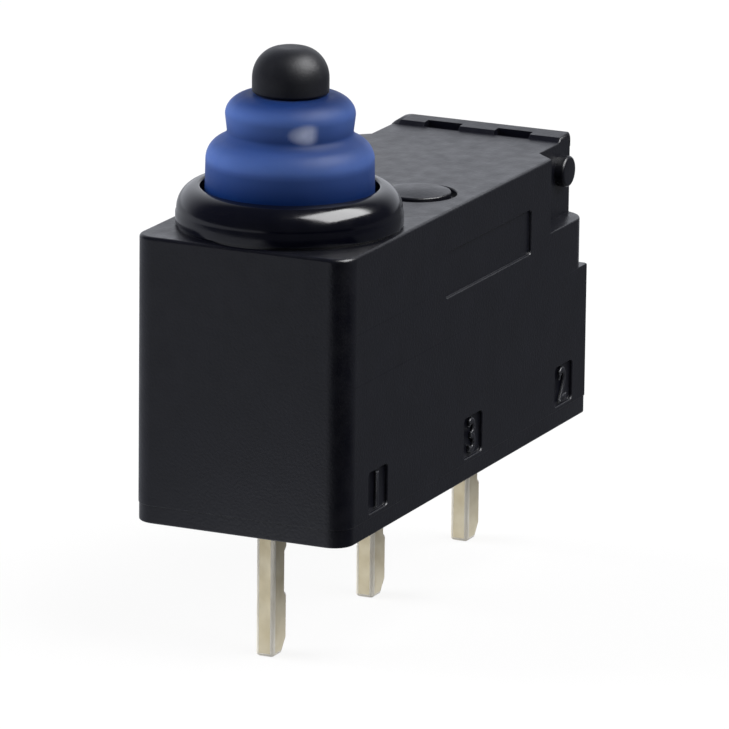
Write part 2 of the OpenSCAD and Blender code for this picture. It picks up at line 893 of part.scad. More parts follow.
// Tension coil between the lever and the arm
module snap_spring() {
    points = [for (i = [0:coil_steps]) each wire_ring(i / coil_steps)];
    walls = [for (i = [0:coil_steps - 1], k = [0:wire_sides - 1])
        [i * wire_sides + k, i * wire_sides + (k + 1) % wire_sides,
            (i + 1) * wire_sides + (k + 1) % wire_sides, (i + 1) * wire_sides + k]];
    start = [for (k = [wire_sides - 1:-1:0]) k];
    end = [for (k = [0:wire_sides - 1]) coil_steps * wire_sides + k];
    color("#8d9096")
        polyhedron(points, concat(walls, [start, end]));
}

case();
base();
sealing_resin();
retaining_ring();
rubber_boot();
plunger();
common_terminal();
normally_open_terminal();
normally_closed_terminal();
normally_open_contact();
normally_closed_contact();
contact_arm();
moving_contact();
drive_lever();
snap_spring();
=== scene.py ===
"""Studio scene of a sealed micro switch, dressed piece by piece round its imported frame."""

import logging
import math
from collections.abc import Sequence
from dataclasses import dataclass, field
from enum import Enum

import bmesh
import bpy
from mathutils import Matrix, Vector


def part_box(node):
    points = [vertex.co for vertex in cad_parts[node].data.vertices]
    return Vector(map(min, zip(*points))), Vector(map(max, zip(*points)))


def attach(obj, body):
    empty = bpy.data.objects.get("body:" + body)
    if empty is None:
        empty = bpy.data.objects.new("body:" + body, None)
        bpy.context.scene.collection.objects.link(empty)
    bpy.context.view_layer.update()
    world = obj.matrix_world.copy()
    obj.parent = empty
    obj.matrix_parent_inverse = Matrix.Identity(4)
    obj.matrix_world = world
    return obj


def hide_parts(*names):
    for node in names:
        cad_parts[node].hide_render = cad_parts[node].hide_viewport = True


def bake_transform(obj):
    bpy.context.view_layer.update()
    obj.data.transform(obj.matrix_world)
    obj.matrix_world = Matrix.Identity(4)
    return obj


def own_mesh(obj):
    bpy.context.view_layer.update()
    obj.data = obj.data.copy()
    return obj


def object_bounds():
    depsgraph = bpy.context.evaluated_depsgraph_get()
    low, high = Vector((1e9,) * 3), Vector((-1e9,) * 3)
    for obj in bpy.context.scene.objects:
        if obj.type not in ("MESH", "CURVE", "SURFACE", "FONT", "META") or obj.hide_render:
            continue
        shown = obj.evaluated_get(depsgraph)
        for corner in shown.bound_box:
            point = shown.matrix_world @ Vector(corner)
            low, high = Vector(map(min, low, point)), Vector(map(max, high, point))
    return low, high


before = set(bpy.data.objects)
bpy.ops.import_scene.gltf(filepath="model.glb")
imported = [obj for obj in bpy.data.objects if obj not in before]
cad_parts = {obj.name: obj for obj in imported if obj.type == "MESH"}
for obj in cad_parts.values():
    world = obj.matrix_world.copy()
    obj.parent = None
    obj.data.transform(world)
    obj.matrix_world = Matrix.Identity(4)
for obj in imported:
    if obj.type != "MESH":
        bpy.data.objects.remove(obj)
CAD_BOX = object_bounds()

LOG = logging.getLogger("micro_switch")

# One millimetre and one degree in the script's own units
MM = 0.001
DEGREE = math.radians(1)
# Steps in each quarter round, points on a small circle, and segments round a turned piece
QUARTER_STEPS = 8
CIRCLE_POINTS = 96
TURNED_SEGMENTS = 160
# Radius of the corners that are left square, and overrun of every cut past its face
SHARP = 0.03 * MM
OVER = 0.2 * MM
# Points closer than this are one point
WELD = 0.0001 * MM
# Edges that turn more than this stay crisp
CRISP = 38 * DEGREE
# Directions along and across the case, and the turn that stands a flat outline up to face them
ALONG, ACROSS = Vector((1.0, 0.0, 0.0)), Vector((0.0, 1.0, 0.0))
UPRIGHT = Matrix(((1, 0, 0), (0, 0, -1), (0, 1, 0))).to_4x4()
# Values that most of a noise lies between, and the turn of the normals over which an edge shows
NOISE_SPAN = (0.3, 0.7)
EDGE_SPAN = (0.999, 0.9)
EDGE_SAMPLES = 6
# Share of the edge wear, and of the marks' painted glint, that is left between the patches
LEAST_WEAR_AND_GLINT = 0.3
# Points of a terminal that lie lower than this are on its blade
BLADE_Z = -0.5 * MM
# Terminals in their order along the case
TERMINALS = ("common_terminal", "normally_open_terminal", "normally_closed_terminal")

Flat = tuple[float, float]
Outline = list[Flat]
Ring = list[Vector]
Colour = tuple[float, float, float, float]
Piece = bpy.types.Object
Mesh = bpy.types.Mesh
Material = bpy.types.Material
Tree = bpy.types.NodeTree
Node = bpy.types.Node
Socket = bpy.types.NodeSocket
Value = Socket | float | Vector | Colour

WHITE: Colour = (1.0, 1.0, 1.0, 1.0)


class Body(Enum):
    """Bodies of the frame that pieces ride on."""

    HOUSING = "housing"
    PUSH_PIN = "push_pin"
    LEVER = "lever"
    ARM = "arm"


class Slot(Enum):
    """Material slots of the record, one for each kind of built piece."""

    CASE = "case_plastic"
    RING = "ring_plastic"
    BOOT = "boot_rubber"
    PIN = "pin_plastic"
    TERMINAL = "terminal_metal"
    STEEL = "spring_steel"


class Join(Enum):
    """Ways to combine a piece with a tool body."""

    ADD = "UNION"
    CUT = "DIFFERENCE"


def srgb(red: int, green: int, blue: int) -> Colour:
    """Linear colour of a screen colour.

    Args:
        red: Red from 0 to 255.
        green: Green from 0 to 255.
        blue: Blue from 0 to 255.

    Returns:
        Linear red, green, blue and a full alpha.
    """
    low_limit, low_slope, offset, power = 0.04045, 12.92, 0.055, 2.4

    def linear(level: int) -> float:
        """Linear value of one channel.

        Args:
            level: Level from 0 to 255.

        Returns:
            Its value from zero to one.
        """
        share = level / 255
        if share <= low_limit:
            return share / low_slope
        return ((share + offset) / (1 + offset)) ** power

    return linear(red), linear(green), linear(blue), 1.0


class Wiring:
    """A node tree while it is being wired."""

    def __init__(self, tree: Tree) -> None:
        """Takes the tree to wire in."""
        self.tree = tree

    def add(self, kind: str, **settings: object) -> Node:
        """Adds a node.

        Args:
            kind: Type name of the node.
            settings: Properties to set on it.

        Returns:
            The new node.
        """
        node = self.tree.nodes.new(kind)
        for key, value in settings.items():
            setattr(node, key, value)
        return node

    def give(self, socket: Socket, value: Value) -> None:
        """Links an input to another socket, or sets its value.

        Args:
            socket: The input.
            value: A socket to link, or a number, vector or colour.
        """
        if isinstance(value, Socket):
            self.tree.links.new(value, socket)
        else:
            socket.default_value = value

    def feed(self, node: Node, *values: Value) -> Node:
        """Gives the first inputs of a node their values, in order.

        Args:
            node: Node to feed.
            values: A socket or a value for each input.

        Returns:
            The node.
        """
        for value, socket in zip(values, node.inputs):
            self.give(socket, value)
        return node

    def make(self, kind: str, inputs: dict[str, Value], **settings: object) -> Node:
        """Adds a node and gives its named inputs their values.

        Args:
            kind: Type name of the node.
            inputs: A socket or a value for each input.
            settings: Properties to set on the node.

        Returns:
            The new node.
        """
        node = self.add(kind, **settings)
        for label, value in inputs.items():
            self.give(node.inputs[label], value)
        return node

    def math(self, operation: str, *values: Value) -> Socket:
        """Result of a sum on numbers or sockets."""
        return self.feed(self.add("ShaderNodeMath", operation=operation), *values).outputs["Value"]

    def times(self, *values: Value) -> Socket:
        """Product of two values."""
        return self.math("MULTIPLY", *values)

    def larger(self, *values: Value) -> Socket:
        """Larger of two values."""
        return self.math("MAXIMUM", *values)

    def dot(self, *vectors: Value) -> Socket:
        """Dot product of two vectors."""
        node = self.add("ShaderNodeVectorMath", operation="DOT_PRODUCT")
        return self.feed(node, *vectors).outputs["Value"]

    def span(self, value: Socket, source: Flat, target: Flat, way: str = "LINEAR") -> Socket:
        """Maps a value from one range to another, held within it."""
        node = self.add("ShaderNodeMapRange", interpolation_type=way)
        return self.feed(node, value, *source, *target).outputs["Result"]

    def fade(self, place: Socket, axis: Vector, source: Flat, target: Flat) -> Socket:
        """Value that changes smoothly over a range along an axis, from one target to the other."""
        return self.span(self.dot(place, axis), source, target, "SMOOTHSTEP")

    def mix(self, share: Socket, low: Value, high: Value) -> Socket:
        """Mixes two colours by the share of the second."""
        return self.feed(self.add("ShaderNodeMixRGB"), share, low, high).outputs["Color"]


class NodeSheet(Wiring):
    """A material while its nodes are being wired."""

    def __init__(self, name: str) -> None:
        """Starts a material with one principled shader.

        Args:
            name: Name of the material.
        """
        self.material = bpy.data.materials.new(name)
        self.material.use_nodes = True
        super().__init__(self.material.node_tree)
        self.shader = self.tree.nodes["Principled BSDF"]
        self.place = self.add("ShaderNodeTexCoord").outputs["Object"]

    def noise(self, scale: float, detail: float, stretch: Vector | None = None) -> Socket:
        """Noise in object coordinates.

        Args:
            scale: Cells per metre.
            detail: Octaves of finer noise.
            stretch: Scale of the coordinates along each axis, where the noise is drawn out.

        Returns:
            The noise's value.
        """
        place = self.place
        if stretch is not None:
            drawn_out = self.make("ShaderNodeMapping", {"Vector": place, "Scale": stretch})
            place = drawn_out.outputs["Vector"]
        inputs = {"Vector": place, "Scale": scale, "Detail": detail}
        return self.make("ShaderNodeTexNoise", inputs).outputs["Fac"]

    def patches(self, scale: float, detail: float, target: Flat) -> Socket:
        """Noise spread over a range of values."""
        return self.span(self.noise(scale, detail), NOISE_SPAN, target)

    def attribute(self, name: str) -> Socket:
        """Value that the mesh carries under a name."""
        return self.add("ShaderNodeAttribute", attribute_name=name).outputs["Fac"]

    def edges(self, radius: float) -> Socket:
        """Mask of the surface close to an edge, from the turn between a rounded and the true normal.

        Args:
            radius: Reach of the mask in metres.

        Returns:
            A value near one on edges and zero on open faces.
        """
        rounded = self.make("ShaderNodeBevel", {"Radius": radius}, samples=EDGE_SAMPLES)
        true = self.add("ShaderNodeNewGeometry")
        turn = self.dot(rounded.outputs["Normal"], true.outputs["Normal"])
        return self.span(turn, EDGE_SPAN, (0.0, 1.0))

    def bump(self, height: Socket, depth: float, below: Socket | None = None) -> Socket:
        """Bump of a given depth.

        Args:
            height: Height from zero to one.
            depth: Real depth in metres.
            below: Normal of a coarser bump under this one.

        Returns:
            The bumped normal.
        """
        inputs = {"Distance": depth, "Height": height}
        if below is not None:
            inputs["Normal"] = below
        return self.make("ShaderNodeBump", inputs).outputs["Normal"]


@dataclass(frozen=True)
class Finish:
    """A moulded surface: mottled colour, uneven gloss, fine grain and paler edges."""

    name: str
    dark: Colour
    light: Colour
    edge: Colour
    roughness: Flat
    grain_size: float = 0.05 * MM
    grain_depth: float = 0.002 * MM
    mottle_size: float = 0.9 * MM
    wear_and_glint: float = 0.35
    wear_and_glint_reach: float = 0.05 * MM
    specular: float = 0.5
    metallic: float = 0.0
    # Noises of the colour, the patches of wear and painted glint, the gloss and the sink waves: cells to
    # a mottle, and octaves
    mottle: Flat = (1.0, 4.0)
    wear_and_glint_patches: Flat = (3.0, 3.0)
    shine: Flat = (2.3, 5.0)
    waves: Flat = (0.6, 1.0)
    # Depth of the waves as a share of the grain's, and octaves of the grain
    wave_share: float = 0.3
    grain_octaves: float = 3.0

    def sized(self, noise: Flat) -> Flat:
        """Cells per metre and octaves of a noise that is given by the mottle's size."""
        return noise[0] / self.mottle_size, noise[1]

    def grain(self, sheet: NodeSheet, depth: float, below: Socket) -> Socket:
        """Fine grain of a given depth over a coarser bump."""
        return sheet.bump(sheet.noise(1 / self.grain_size, self.grain_octaves), depth, below)

    def swell(self, sheet: NodeSheet) -> Socket:
        """Slow waves under the grain."""
        return sheet.bump(sheet.noise(*self.sized(self.waves)), self.grain_depth * self.wave_share)

    def tint(self, sheet: NodeSheet) -> Socket:
        """Mottled colour with paler edges, worn on most finishes and a painted glint on the marks.

        Args:
            sheet: Material being wired.

        Returns:
            The colour.
        """
        mottle = sheet.patches(*self.sized(self.mottle), (0.0, 1.0))
        wear_and_glint_patches = sheet.patches(*self.sized(self.wear_and_glint_patches), (LEAST_WEAR_AND_GLINT * self.wear_and_glint, self.wear_and_glint))
        colour = sheet.mix(mottle, self.dark, self.light)
        return sheet.mix(sheet.times(sheet.edges(self.wear_and_glint_reach), wear_and_glint_patches), colour, self.edge)

    def gloss(self, sheet: NodeSheet) -> Socket:
        """Uneven roughness."""
        return sheet.patches(*self.sized(self.shine), self.roughness)

    def relief(self, sheet: NodeSheet) -> Socket:
        """Fine moulded grain over slight sink waves."""
        return self.grain(sheet, self.grain_depth, self.swell(sheet))

    def even(self) -> dict[str, Value]:
        """Values that are the same all over the surface."""
        return {"Metallic": self.metallic, "Specular IOR Level": self.specular}

    def material(self) -> Material:
        """Wires the finish as a material.

        Returns:
            The new material.
        """
        sheet = NodeSheet(self.name)
        values = {
            "Base Color": self.tint(sheet), "Roughness": self.gloss(sheet),
            "Normal": self.relief(sheet), **self.even(),
        }
        for label, value in values.items():
            sheet.give(sheet.shader.inputs[label], value)
        return sheet.material


@dataclass(frozen=True)
class RubberFinish(Finish):
    """Soft coloured rubber that lets a little light in, with painted light and shade and a painted
    highlight.
    """

    # Names of the mesh values that carry the painted light and shade and the painted highlight, and how
    # much noise breaks each up
    painted_light: str = "painted_light"
    painted_highlight: str = "painted_highlight"
    painted_light_break: float = 0.12
    painted_highlight_break: float = 0.25
    glow: float = 0.15
    glow_reach: float = 0.25 * MM
    glow_spread: tuple[float, float, float] = (0.3, 0.5, 1.0)
    sheen: float = 0.05
    sheen_roughness: float = 0.4
    sheen_tint: Colour = (0.7, 0.8, 1.0, 1.0)

    def tint(self, sheet: NodeSheet) -> Socket:
        """Colour that pales with the painted light on the mesh and darkens in its painted shade, broken
        up by noise, and pales with the painted highlight.

        Args:
            sheet: Material being wired.

        Returns:
            The colour.
        """
        broken = sheet.patches(*self.sized(self.mottle), (1 - self.painted_light_break, 1.0))
        patches = sheet.patches(*self.sized(self.wear_and_glint_patches), (1 - self.painted_highlight_break, 1.0))
        # Painted light and shade: the lit blue where the bands are strong, the shaded blue elsewhere
        colour = sheet.mix(sheet.times(sheet.attribute(self.painted_light), broken), self.dark, self.light)
        # Painted highlight: the pale edge colour where the spot's value is strong
        return sheet.mix(sheet.times(sheet.attribute(self.painted_highlight), patches), colour, self.edge)

    def even(self) -> dict[str, Value]:
        """Adds the rubber's sheen and its faint inner glow.

        Returns:
            A value for each input of the shader.
        """
        return super().even() | {
            "Subsurface Weight": self.glow, "Subsurface Scale": self.glow_reach,
            "Subsurface Radius": self.glow_spread, "Sheen Weight": self.sheen,
            "Sheen Roughness": self.sheen_roughness, "Sheen Tint": self.sheen_tint,
        }


@dataclass(frozen=True)
class SheetMetalFinish(Finish):
    """Rolled and plated strip with fine lines along its length."""

    lines: Vector = field(default_factory=lambda: Vector((1.0, 1.0, 0.05)))
    line_size: float = 0.03 * MM
    line_octaves: float = 3.0
    grain_octaves: float = 2.0

    def relief(self, sheet: NodeSheet) -> Socket:
        """Rolling lines under a faint plated grain."""
        lines = sheet.noise(1 / self.line_size, self.line_octaves, self.lines)
        return self.grain(sheet, self.grain_depth / 2, sheet.bump(lines, self.grain_depth))


@dataclass(frozen=True)
class PottingFinish(Finish):
    """Poured resin with slow waves and small pits."""

    waves: Flat = (0.7, 2.0)
    wave_share: float = 8.0
    pit_size: float = 0.25 * MM
    pit_edge: Flat = (0.05, 0.18)
    pit_share: float = 3.0

    def relief(self, sheet: NodeSheet) -> Socket:
        """Slow waves with small burst bubbles.

        Args:
            sheet: Material being wired.

        Returns:
            The bumped normal.
        """
        below = self.swell(sheet)
        cells = sheet.make("ShaderNodeTexVoronoi", {"Vector": sheet.place, "Scale": 1 / self.pit_size})
        pits = sheet.span(cells.outputs["Distance"], self.pit_edge, (0.0, 1.0))
        return sheet.bump(pits, self.grain_depth * self.pit_share, below)


CASE_FINISH = Finish(
    "grained_charcoal", srgb(5, 6, 16), srgb(10, 11, 21), srgb(44, 45, 50),
    roughness=(0.3, 0.4), grain_size=0.07 * MM, grain_depth=0.006 * MM,
)
# The marks' pale edges are a painted glint on the digits' bevels
MARK_FINISH = Finish(
    "rubbed_marks", srgb(14, 15, 24), srgb(26, 27, 34), srgb(150, 152, 156),
    roughness=(0.28, 0.4), wear_and_glint=0.9, wear_and_glint_reach=0.04 * MM,
)
BASE_FINISH = Finish(
    "base_block_plastic", srgb(40, 38, 37), srgb(52, 49, 47), srgb(90, 88, 85), roughness=(0.45, 0.6),
)
RESIN_FINISH = PottingFinish(
    "potting_resin", srgb(24, 23, 23), srgb(34, 32, 31), srgb(60, 58, 56), roughness=(0.22, 0.4),
)
RING_FINISH = Finish(
    "polished_black", srgb(4, 5, 15), srgb(8, 9, 19), srgb(54, 56, 60),
    roughness=(0.12, 0.2), grain_depth=0.0006 * MM, wear_and_glint=0.3,
)
# Shaded and lit blues of the boot, mixed by its painted light and shade; the pale edge colour is its
# painted highlight
BOOT_FINISH = RubberFinish(
    "blue_rubber", srgb(4, 36, 90), srgb(71, 97, 160), srgb(180, 188, 214),
    roughness=(0.42, 0.54), grain_size=0.07 * MM, grain_depth=0.0015 * MM,
    specular=0.1,
)
PIN_FINISH = Finish(
    "satin_charcoal", srgb(19, 20, 26), srgb(28, 29, 34), srgb(60, 62, 64),
    roughness=(0.4, 0.5), grain_depth=0.003 * MM, specular=0.28,
)
TERMINAL_FINISH = SheetMetalFinish(
    "tinned_strip", srgb(204, 190, 156), srgb(222, 211, 182), srgb(246, 242, 232),
    roughness=(0.28, 0.42), grain_depth=0.001 * MM, mottle_size=0.6 * MM, metallic=1.0, wear_and_glint=0.8,
)
# Finish of the terminals' eased edges: near-white, a painted highlight along them
PAINTED_EDGE_HIGHLIGHT_FINISH = SheetMetalFinish(
    "rolled_edge", srgb(222, 214, 196), srgb(248, 243, 230), srgb(252, 249, 240),
    roughness=(0.3, 0.45), grain_depth=0.001 * MM, metallic=0.2, wear_and_glint=0.6,
)
CONTACT_FINISH = Finish(
    "contact_silver", srgb(214, 212, 206), srgb(232, 230, 225), srgb(246, 245, 242),
    roughness=(0.2, 0.34), grain_depth=0.0008 * MM, metallic=1.0, wear_and_glint=0.6,
)
BRONZE_FINISH = SheetMetalFinish(
    "spring_bronze", srgb(176, 126, 72), srgb(202, 152, 92), srgb(226, 186, 128),
    roughness=(0.26, 0.4), grain_depth=0.0008 * MM, metallic=1.0, wear_and_glint=0.7,
    lines=Vector((0.05, 1.0, 1.0)),
)
STEEL_FINISH = SheetMetalFinish(
    "spring_steel", srgb(150, 152, 156), srgb(178, 180, 184), srgb(214, 216, 220),
    roughness=(0.2, 0.32), grain_depth=0.0006 * MM, metallic=1.0, wear_and_glint=0.5,
    lines=Vector((0.05, 1.0, 1.0)),
)


def show(name: str, mesh: Mesh) -> Piece:
    """Puts a mesh in the scene as an object at the origin.

    Args:
        name: Name of the object.
        mesh: Its mesh.

    Returns:
        The new object.
    """
    piece = bpy.data.objects.new(name, mesh)
    bpy.context.scene.collection.objects.link(piece)
    return piece


def bake(piece: Piece) -> None:
    """Turns a piece and its modifiers into a plain mesh.

    Args:
        piece: The piece.
    """
    graph = bpy.context.evaluated_depsgraph_get()
    mesh = bpy.data.meshes.new_from_object(piece.evaluated_get(graph), depsgraph=graph)
    piece.modifiers.clear()
    piece.data = mesh


def keep(work: bmesh.types.BMesh, mesh: Mesh) -> Mesh:
    """Writes what was edited to a mesh and ends the edit.

    Args:
        work: The edit.
        mesh: Mesh that takes the result.

    Returns:
        The mesh.
    """
    work.to_mesh(mesh)
    work.free()
    return mesh


def weld(piece: Piece) -> None:
    """Merges doubled points and turns all faces outwards.

    Args:
        piece: The piece.
    """
    work = bmesh.new()
    work.from_mesh(piece.data)
    bmesh.ops.remove_doubles(work, verts=work.verts, dist=WELD)
    bmesh.ops.dissolve_degenerate(work, edges=work.edges, dist=WELD)
    bmesh.ops.recalc_face_normals(work, faces=work.faces)
    keep(work, piece.data)


def smooth(piece: Piece, flat_faces: bool = False) -> None:
    """Shades a piece smoothly between its crisp edges.

    Args:
        piece: Piece to shade.
        flat_faces: Keeps broad flat faces flat where they meet a round.
    """
    piece.data.shade_smooth()
    piece.data.set_sharp_from_angle(angle=CRISP)
    if flat_faces:
        weights = piece.modifiers.new("flat_faces", "WEIGHTED_NORMAL")
        weights.keep_sharp = True
        bake(piece)


def arc(centre: Flat, radii: Flat, start: float, end: float, steps: int = QUARTER_STEPS) -> Outline:
    """Points along an arc between two angles in degrees, both ends included."""
    angles = [(start + (end - start) * step / steps) * DEGREE for step in range(steps + 1)]
    return [(centre[0] + radii[0] * math.cos(a), centre[1] + radii[1] * math.sin(a)) for a in angles]


def circle(centre: Flat, radius: float) -> Outline:
    """Points round a circle, each once."""
    return arc(centre, (radius, radius), 0, 360, CIRCLE_POINTS)[:-1]


def bend(start: Flat, corner: Flat, end: Flat) -> Outline:
    """Points along a smooth bend, without its first.

    Args:
        start: Where it starts, heading for the corner.
        corner: Corner that it rounds off.
        end: Where it ends, heading away from the corner.

    Returns:
        The points in order.
    """
    points = []
    for k in range(1, QUARTER_STEPS + 1):
        share = k / QUARTER_STEPS
        weights = ((1 - share) ** 2, 2 * share * (1 - share), share ** 2)
        axes = zip(start, corner, end)
        points.append(tuple(sum(w * v for w, v in zip(weights, values)) for values in axes))
    return points


def round_rectangle(half: Flat, radius: float) -> Outline:
    """Rectangle about the origin with round corners.

    Args:
        half: Half of its width and height.
        radius: Radius of its corners.

    Returns:
        Its points, turning left.
    """
    points: Outline = []
    for turn, (u, v) in enumerate([(1, 1), (-1, 1), (-1, -1), (1, -1)]):
        centre = (u * (half[0] - radius), v * (half[1] - radius))
        points += arc(centre, (radius, radius), 90 * turn, 90 * (turn + 1))
    return points


def level(outline: Outline, height: float) -> Ring:
    """Points of an outline at one height."""
    return [Vector((x, y, height)) for x, y in outline]


def quarter() -> list[Flat]:
    """Cosine and sine at each step of a quarter turn."""
    return arc((0.0, 0.0), (1.0, 1.0), 0, 90)


def loft(name: str, rings: Sequence[Ring], place: Matrix | None = None) -> Piece:
    """Closed skin over rings of equally many points, with flat ends.

    Args:
        name: Name of the object.
        rings: Rings from one end to the other.
        place: Where the skin goes, if not as given.

    Returns:
        The new object.
    """
    work = bmesh.new()
    loops = [[work.verts.new(point) for point in ring] for ring in rings]
    for low, high in zip(loops, loops[1:]):
        for k in range(len(low)):
            work.faces.new((low[k - 1], low[k], high[k], high[k - 1]))
    work.faces.new(loops[0])
    work.faces.new(loops[-1])
    mesh = keep(work, bpy.data.meshes.new(name))
    if place is not None:
        mesh.transform(place)
    piece = show(name, mesh)
    weld(piece)
    return piece


def spun(name: str, sections: Sequence[Flat], place: Matrix) -> Piece:
    """Round body from the height and the radius of each of its sections."""
    return loft(name, [level(circle((0.0, 0.0), radius), height) for height, radius in sections], place)


def prism(name: str, outline: Outline, heights: Flat, place: Matrix | None = None) -> Piece:
    """Straight body over an outline, from one height to another."""
    return loft(name, [level(outline, height) for height in heights], place)


def combine(piece: Piece, tools: Sequence[Piece], way: Join) -> None:
    """Adds tool bodies to a piece or cuts them out of it, and removes them.

    Args:
        piece: Piece that is changed.
        tools: Bodies to add or cut.
        way: Whether to add or to cut.
    """
    for tool in tools:
        step = piece.modifiers.new(tool.name, "BOOLEAN")
        step.operation = way.value
        step.solver = "EXACT"
        step.object = tool
    bake(piece)
    for tool in tools:
        bpy.data.objects.remove(tool)


def pocket(name: str, place: Matrix, half: Flat, radius: float, depth: float, flare: float) -> Piece:
    """Tool body for a recess whose mouth is eased by a small slope.

    Args:
        name: Name of the tool body.
        place: Frame of the recess: its face in X and Y, outwards along Z.
        half: Half of its width and height.
        radius: Radius of its corners.
        depth: Depth of its floor.
        flare: Width of the slope round its mouth.

    Returns:
        The tool body.
    """
    sections = [(-depth, -flare / 2), (-depth + flare / 2, 0.0)]
    sections += [(-flare, 0.0), (0.0, flare), (OVER, flare + OVER)]
    rings = [
        level(round_rectangle((half[0] + grow, half[1] + grow), radius + max(grow, 0.0)), height)
        for height, grow in sections
    ]
    return loft(name, rings, place)


class NodeGraph(Wiring):
    """A geometry tree while it is being wired."""

    def __init__(self, name: str, sizes: dict[str, Sequence[str]]) -> None:
        """Starts a tree with named inputs.

        Args:
            name: Name of the tree.
            sizes: Names of the inputs of each kind.
        """
        super().__init__(bpy.data.node_groups.new(name, "GeometryNodeTree"))
        face = self.tree.interface
        face.new_socket("Geometry", in_out="INPUT", socket_type="NodeSocketGeometry")
        for kind, labels in {**sizes, "Material": ("Material",)}.items():
            for label in labels:
                face.new_socket(label, in_out="INPUT", socket_type=f"NodeSocket{kind}")
        face.new_socket("Geometry", in_out="OUTPUT", socket_type="NodeSocketGeometry")
        self.inputs = self.add("NodeGroupInput").outputs

    def vector(self, *values: Value) -> Socket:
        """Vector of three values or sockets."""
        return self.feed(self.add("ShaderNodeCombineXYZ"), *values).outputs["Vector"]

    def end(self, geometry: Socket) -> None:
        """Realizes the geometry, gives it its material and sends it out.

        Args:
            geometry: Geometry to send out.
        """
        real = self.make("GeometryNodeRealizeInstances", {"Geometry": geometry}).outputs["Geometry"]
        finish = {"Geometry": real, "Material": self.inputs["Material"]}
        dressed = self.make("GeometryNodeSetMaterial", finish).outputs["Geometry"]
        self.make("NodeGroupOutput", {"Geometry": dressed})

    def run(self, piece: Piece, values: dict[str, object]) -> None:
        """Runs the tree on a piece and keeps the result as a plain mesh.

        Args:
            piece: Piece whose mesh goes in.
            values: Value of each input, by its name.
        """
        step = piece.modifiers.new(self.tree.name, "NODES")
        step.node_group = self.tree
        for item in self.tree.interface.items_tree:
            if item.in_out == "INPUT" and item.name in values:
                step[item.identifier] = values[item.name]
        bake(piece)


class TurningTree(NodeGraph):
    """Tree that turns a half section about an upright axis."""

    def __init__(self) -> None:
        """Wires the tree: a grid whose rows follow the section round the axis."""
        super().__init__("turned_piece", {"Int": ("Segments", "Points"), "Vector": ("Axis",)})
        points, segments = self.inputs["Points"], self.inputs["Segments"]
        counts = {"Vertices X": self.math("ADD", segments, 1.0), "Vertices Y": points}
        grid = self.make("GeometryNodeMeshGrid", counts).outputs["Mesh"]
        index = self.add("GeometryNodeInputIndex").outputs["Index"]
        column = self.math("FLOOR", self.math("DIVIDE", index, points))
        row = self.math("SUBTRACT", index, self.times(column, points))
        place = self.add("GeometryNodeInputPosition").outputs["Position"]
        source = {"Geometry": self.inputs["Geometry"], "Value": place, "Index": row}
        section = self.make("GeometryNodeSampleIndex", source, data_type="FLOAT_VECTOR", domain="POINT")
        split = self.feed(self.add("ShaderNodeSeparateXYZ"), section.outputs["Value"]).outputs
        angle = self.times(self.math("DIVIDE", column, segments), math.tau)
        sides = [self.times(split["X"], self.math(wave, angle)) for wave in ("COSINE", "SINE")]
        turned = {"Position": self.vector(*sides, split["Z"]), "Offset": self.inputs["Axis"]}
        moved = self.make("GeometryNodeSetPosition", {"Geometry": grid, **turned}).outputs["Geometry"]
        closed = self.make("GeometryNodeMergeByDistance", {"Geometry": moved, "Distance": WELD})
        self.end(closed.outputs["Geometry"])

    def turn(self, name: str, section: Outline, axis: Vector, material: Material) -> Piece:
        """Makes a turned piece.

        Args:
            name: Name of the piece.
            section: Radius and height of each point of its half section.
            axis: A point on its axis.
            material: Its material.

        Returns:
            The new piece.
        """
        mesh = bpy.data.meshes.new(name)
        mesh.from_pydata([(r, 0.0, z) for r, z in section], [], [])
        piece = show(name, mesh)
        counts = {"Segments": TURNED_SEGMENTS, "Points": len(section)}
        self.run(piece, {**counts, "Axis": axis, "Material": material})
        weld(piece)
        smooth(piece)
        return piece


class CoilTree(NodeGraph):
    """Tree that winds a tension spring between two hooks."""

    def __init__(self) -> None:
        """Wires the tree: a line wound into a coil and swept with round wire."""
        super().__init__("wound_spring", {
            "Vector": ("Start", "End"), "Int": ("Points", "Wire Sides"),
            "Float": ("Coil Radius", "Wire Radius", "Turns", "Leg Share", "Lead Share"),
        })
        sizes = self.inputs
        ends = {"Start": sizes["Start"], "End": sizes["End"]}
        line = self.make("GeometryNodeCurvePrimitiveLine", ends).outputs["Curve"]
        fine = self.make("GeometryNodeResampleCurve", {"Curve": line, "Count": sizes["Points"]})
        along = self.add("GeometryNodeSplineParameter").outputs["Factor"]
        angle = self.times(self.times(along, sizes["Turns"]), math.tau)
        near = self.math("SUBTRACT", along, sizes["Leg Share"])
        far = self.math("SUBTRACT", self.math("SUBTRACT", 1.0, along), sizes["Leg Share"])
        lead = self.math("DIVIDE", self.math("MINIMUM", near, far), sizes["Lead Share"])
        share = self.larger(0.0, self.math("MINIMUM", 1.0, lead))
        grown = self.times(share, sizes["Coil Radius"])
        sides = [self.times(grown, self.math(wave, angle)) for wave in ("COSINE", "SINE")]
        path = {"Geometry": fine.outputs["Curve"], "Offset": self.vector(0.0, *sides)}
        wound = self.make("GeometryNodeSetPosition", path).outputs["Geometry"]
        wire = {"Resolution": sizes["Wire Sides"], "Radius": sizes["Wire Radius"]}
        round_wire = self.make("GeometryNodeCurvePrimitiveCircle", wire).outputs["Curve"]
        sweep = {"Curve": wound, "Profile Curve": round_wire, "Fill Caps": True}
        self.end(self.make("GeometryNodeCurveToMesh", sweep).outputs["Mesh"])


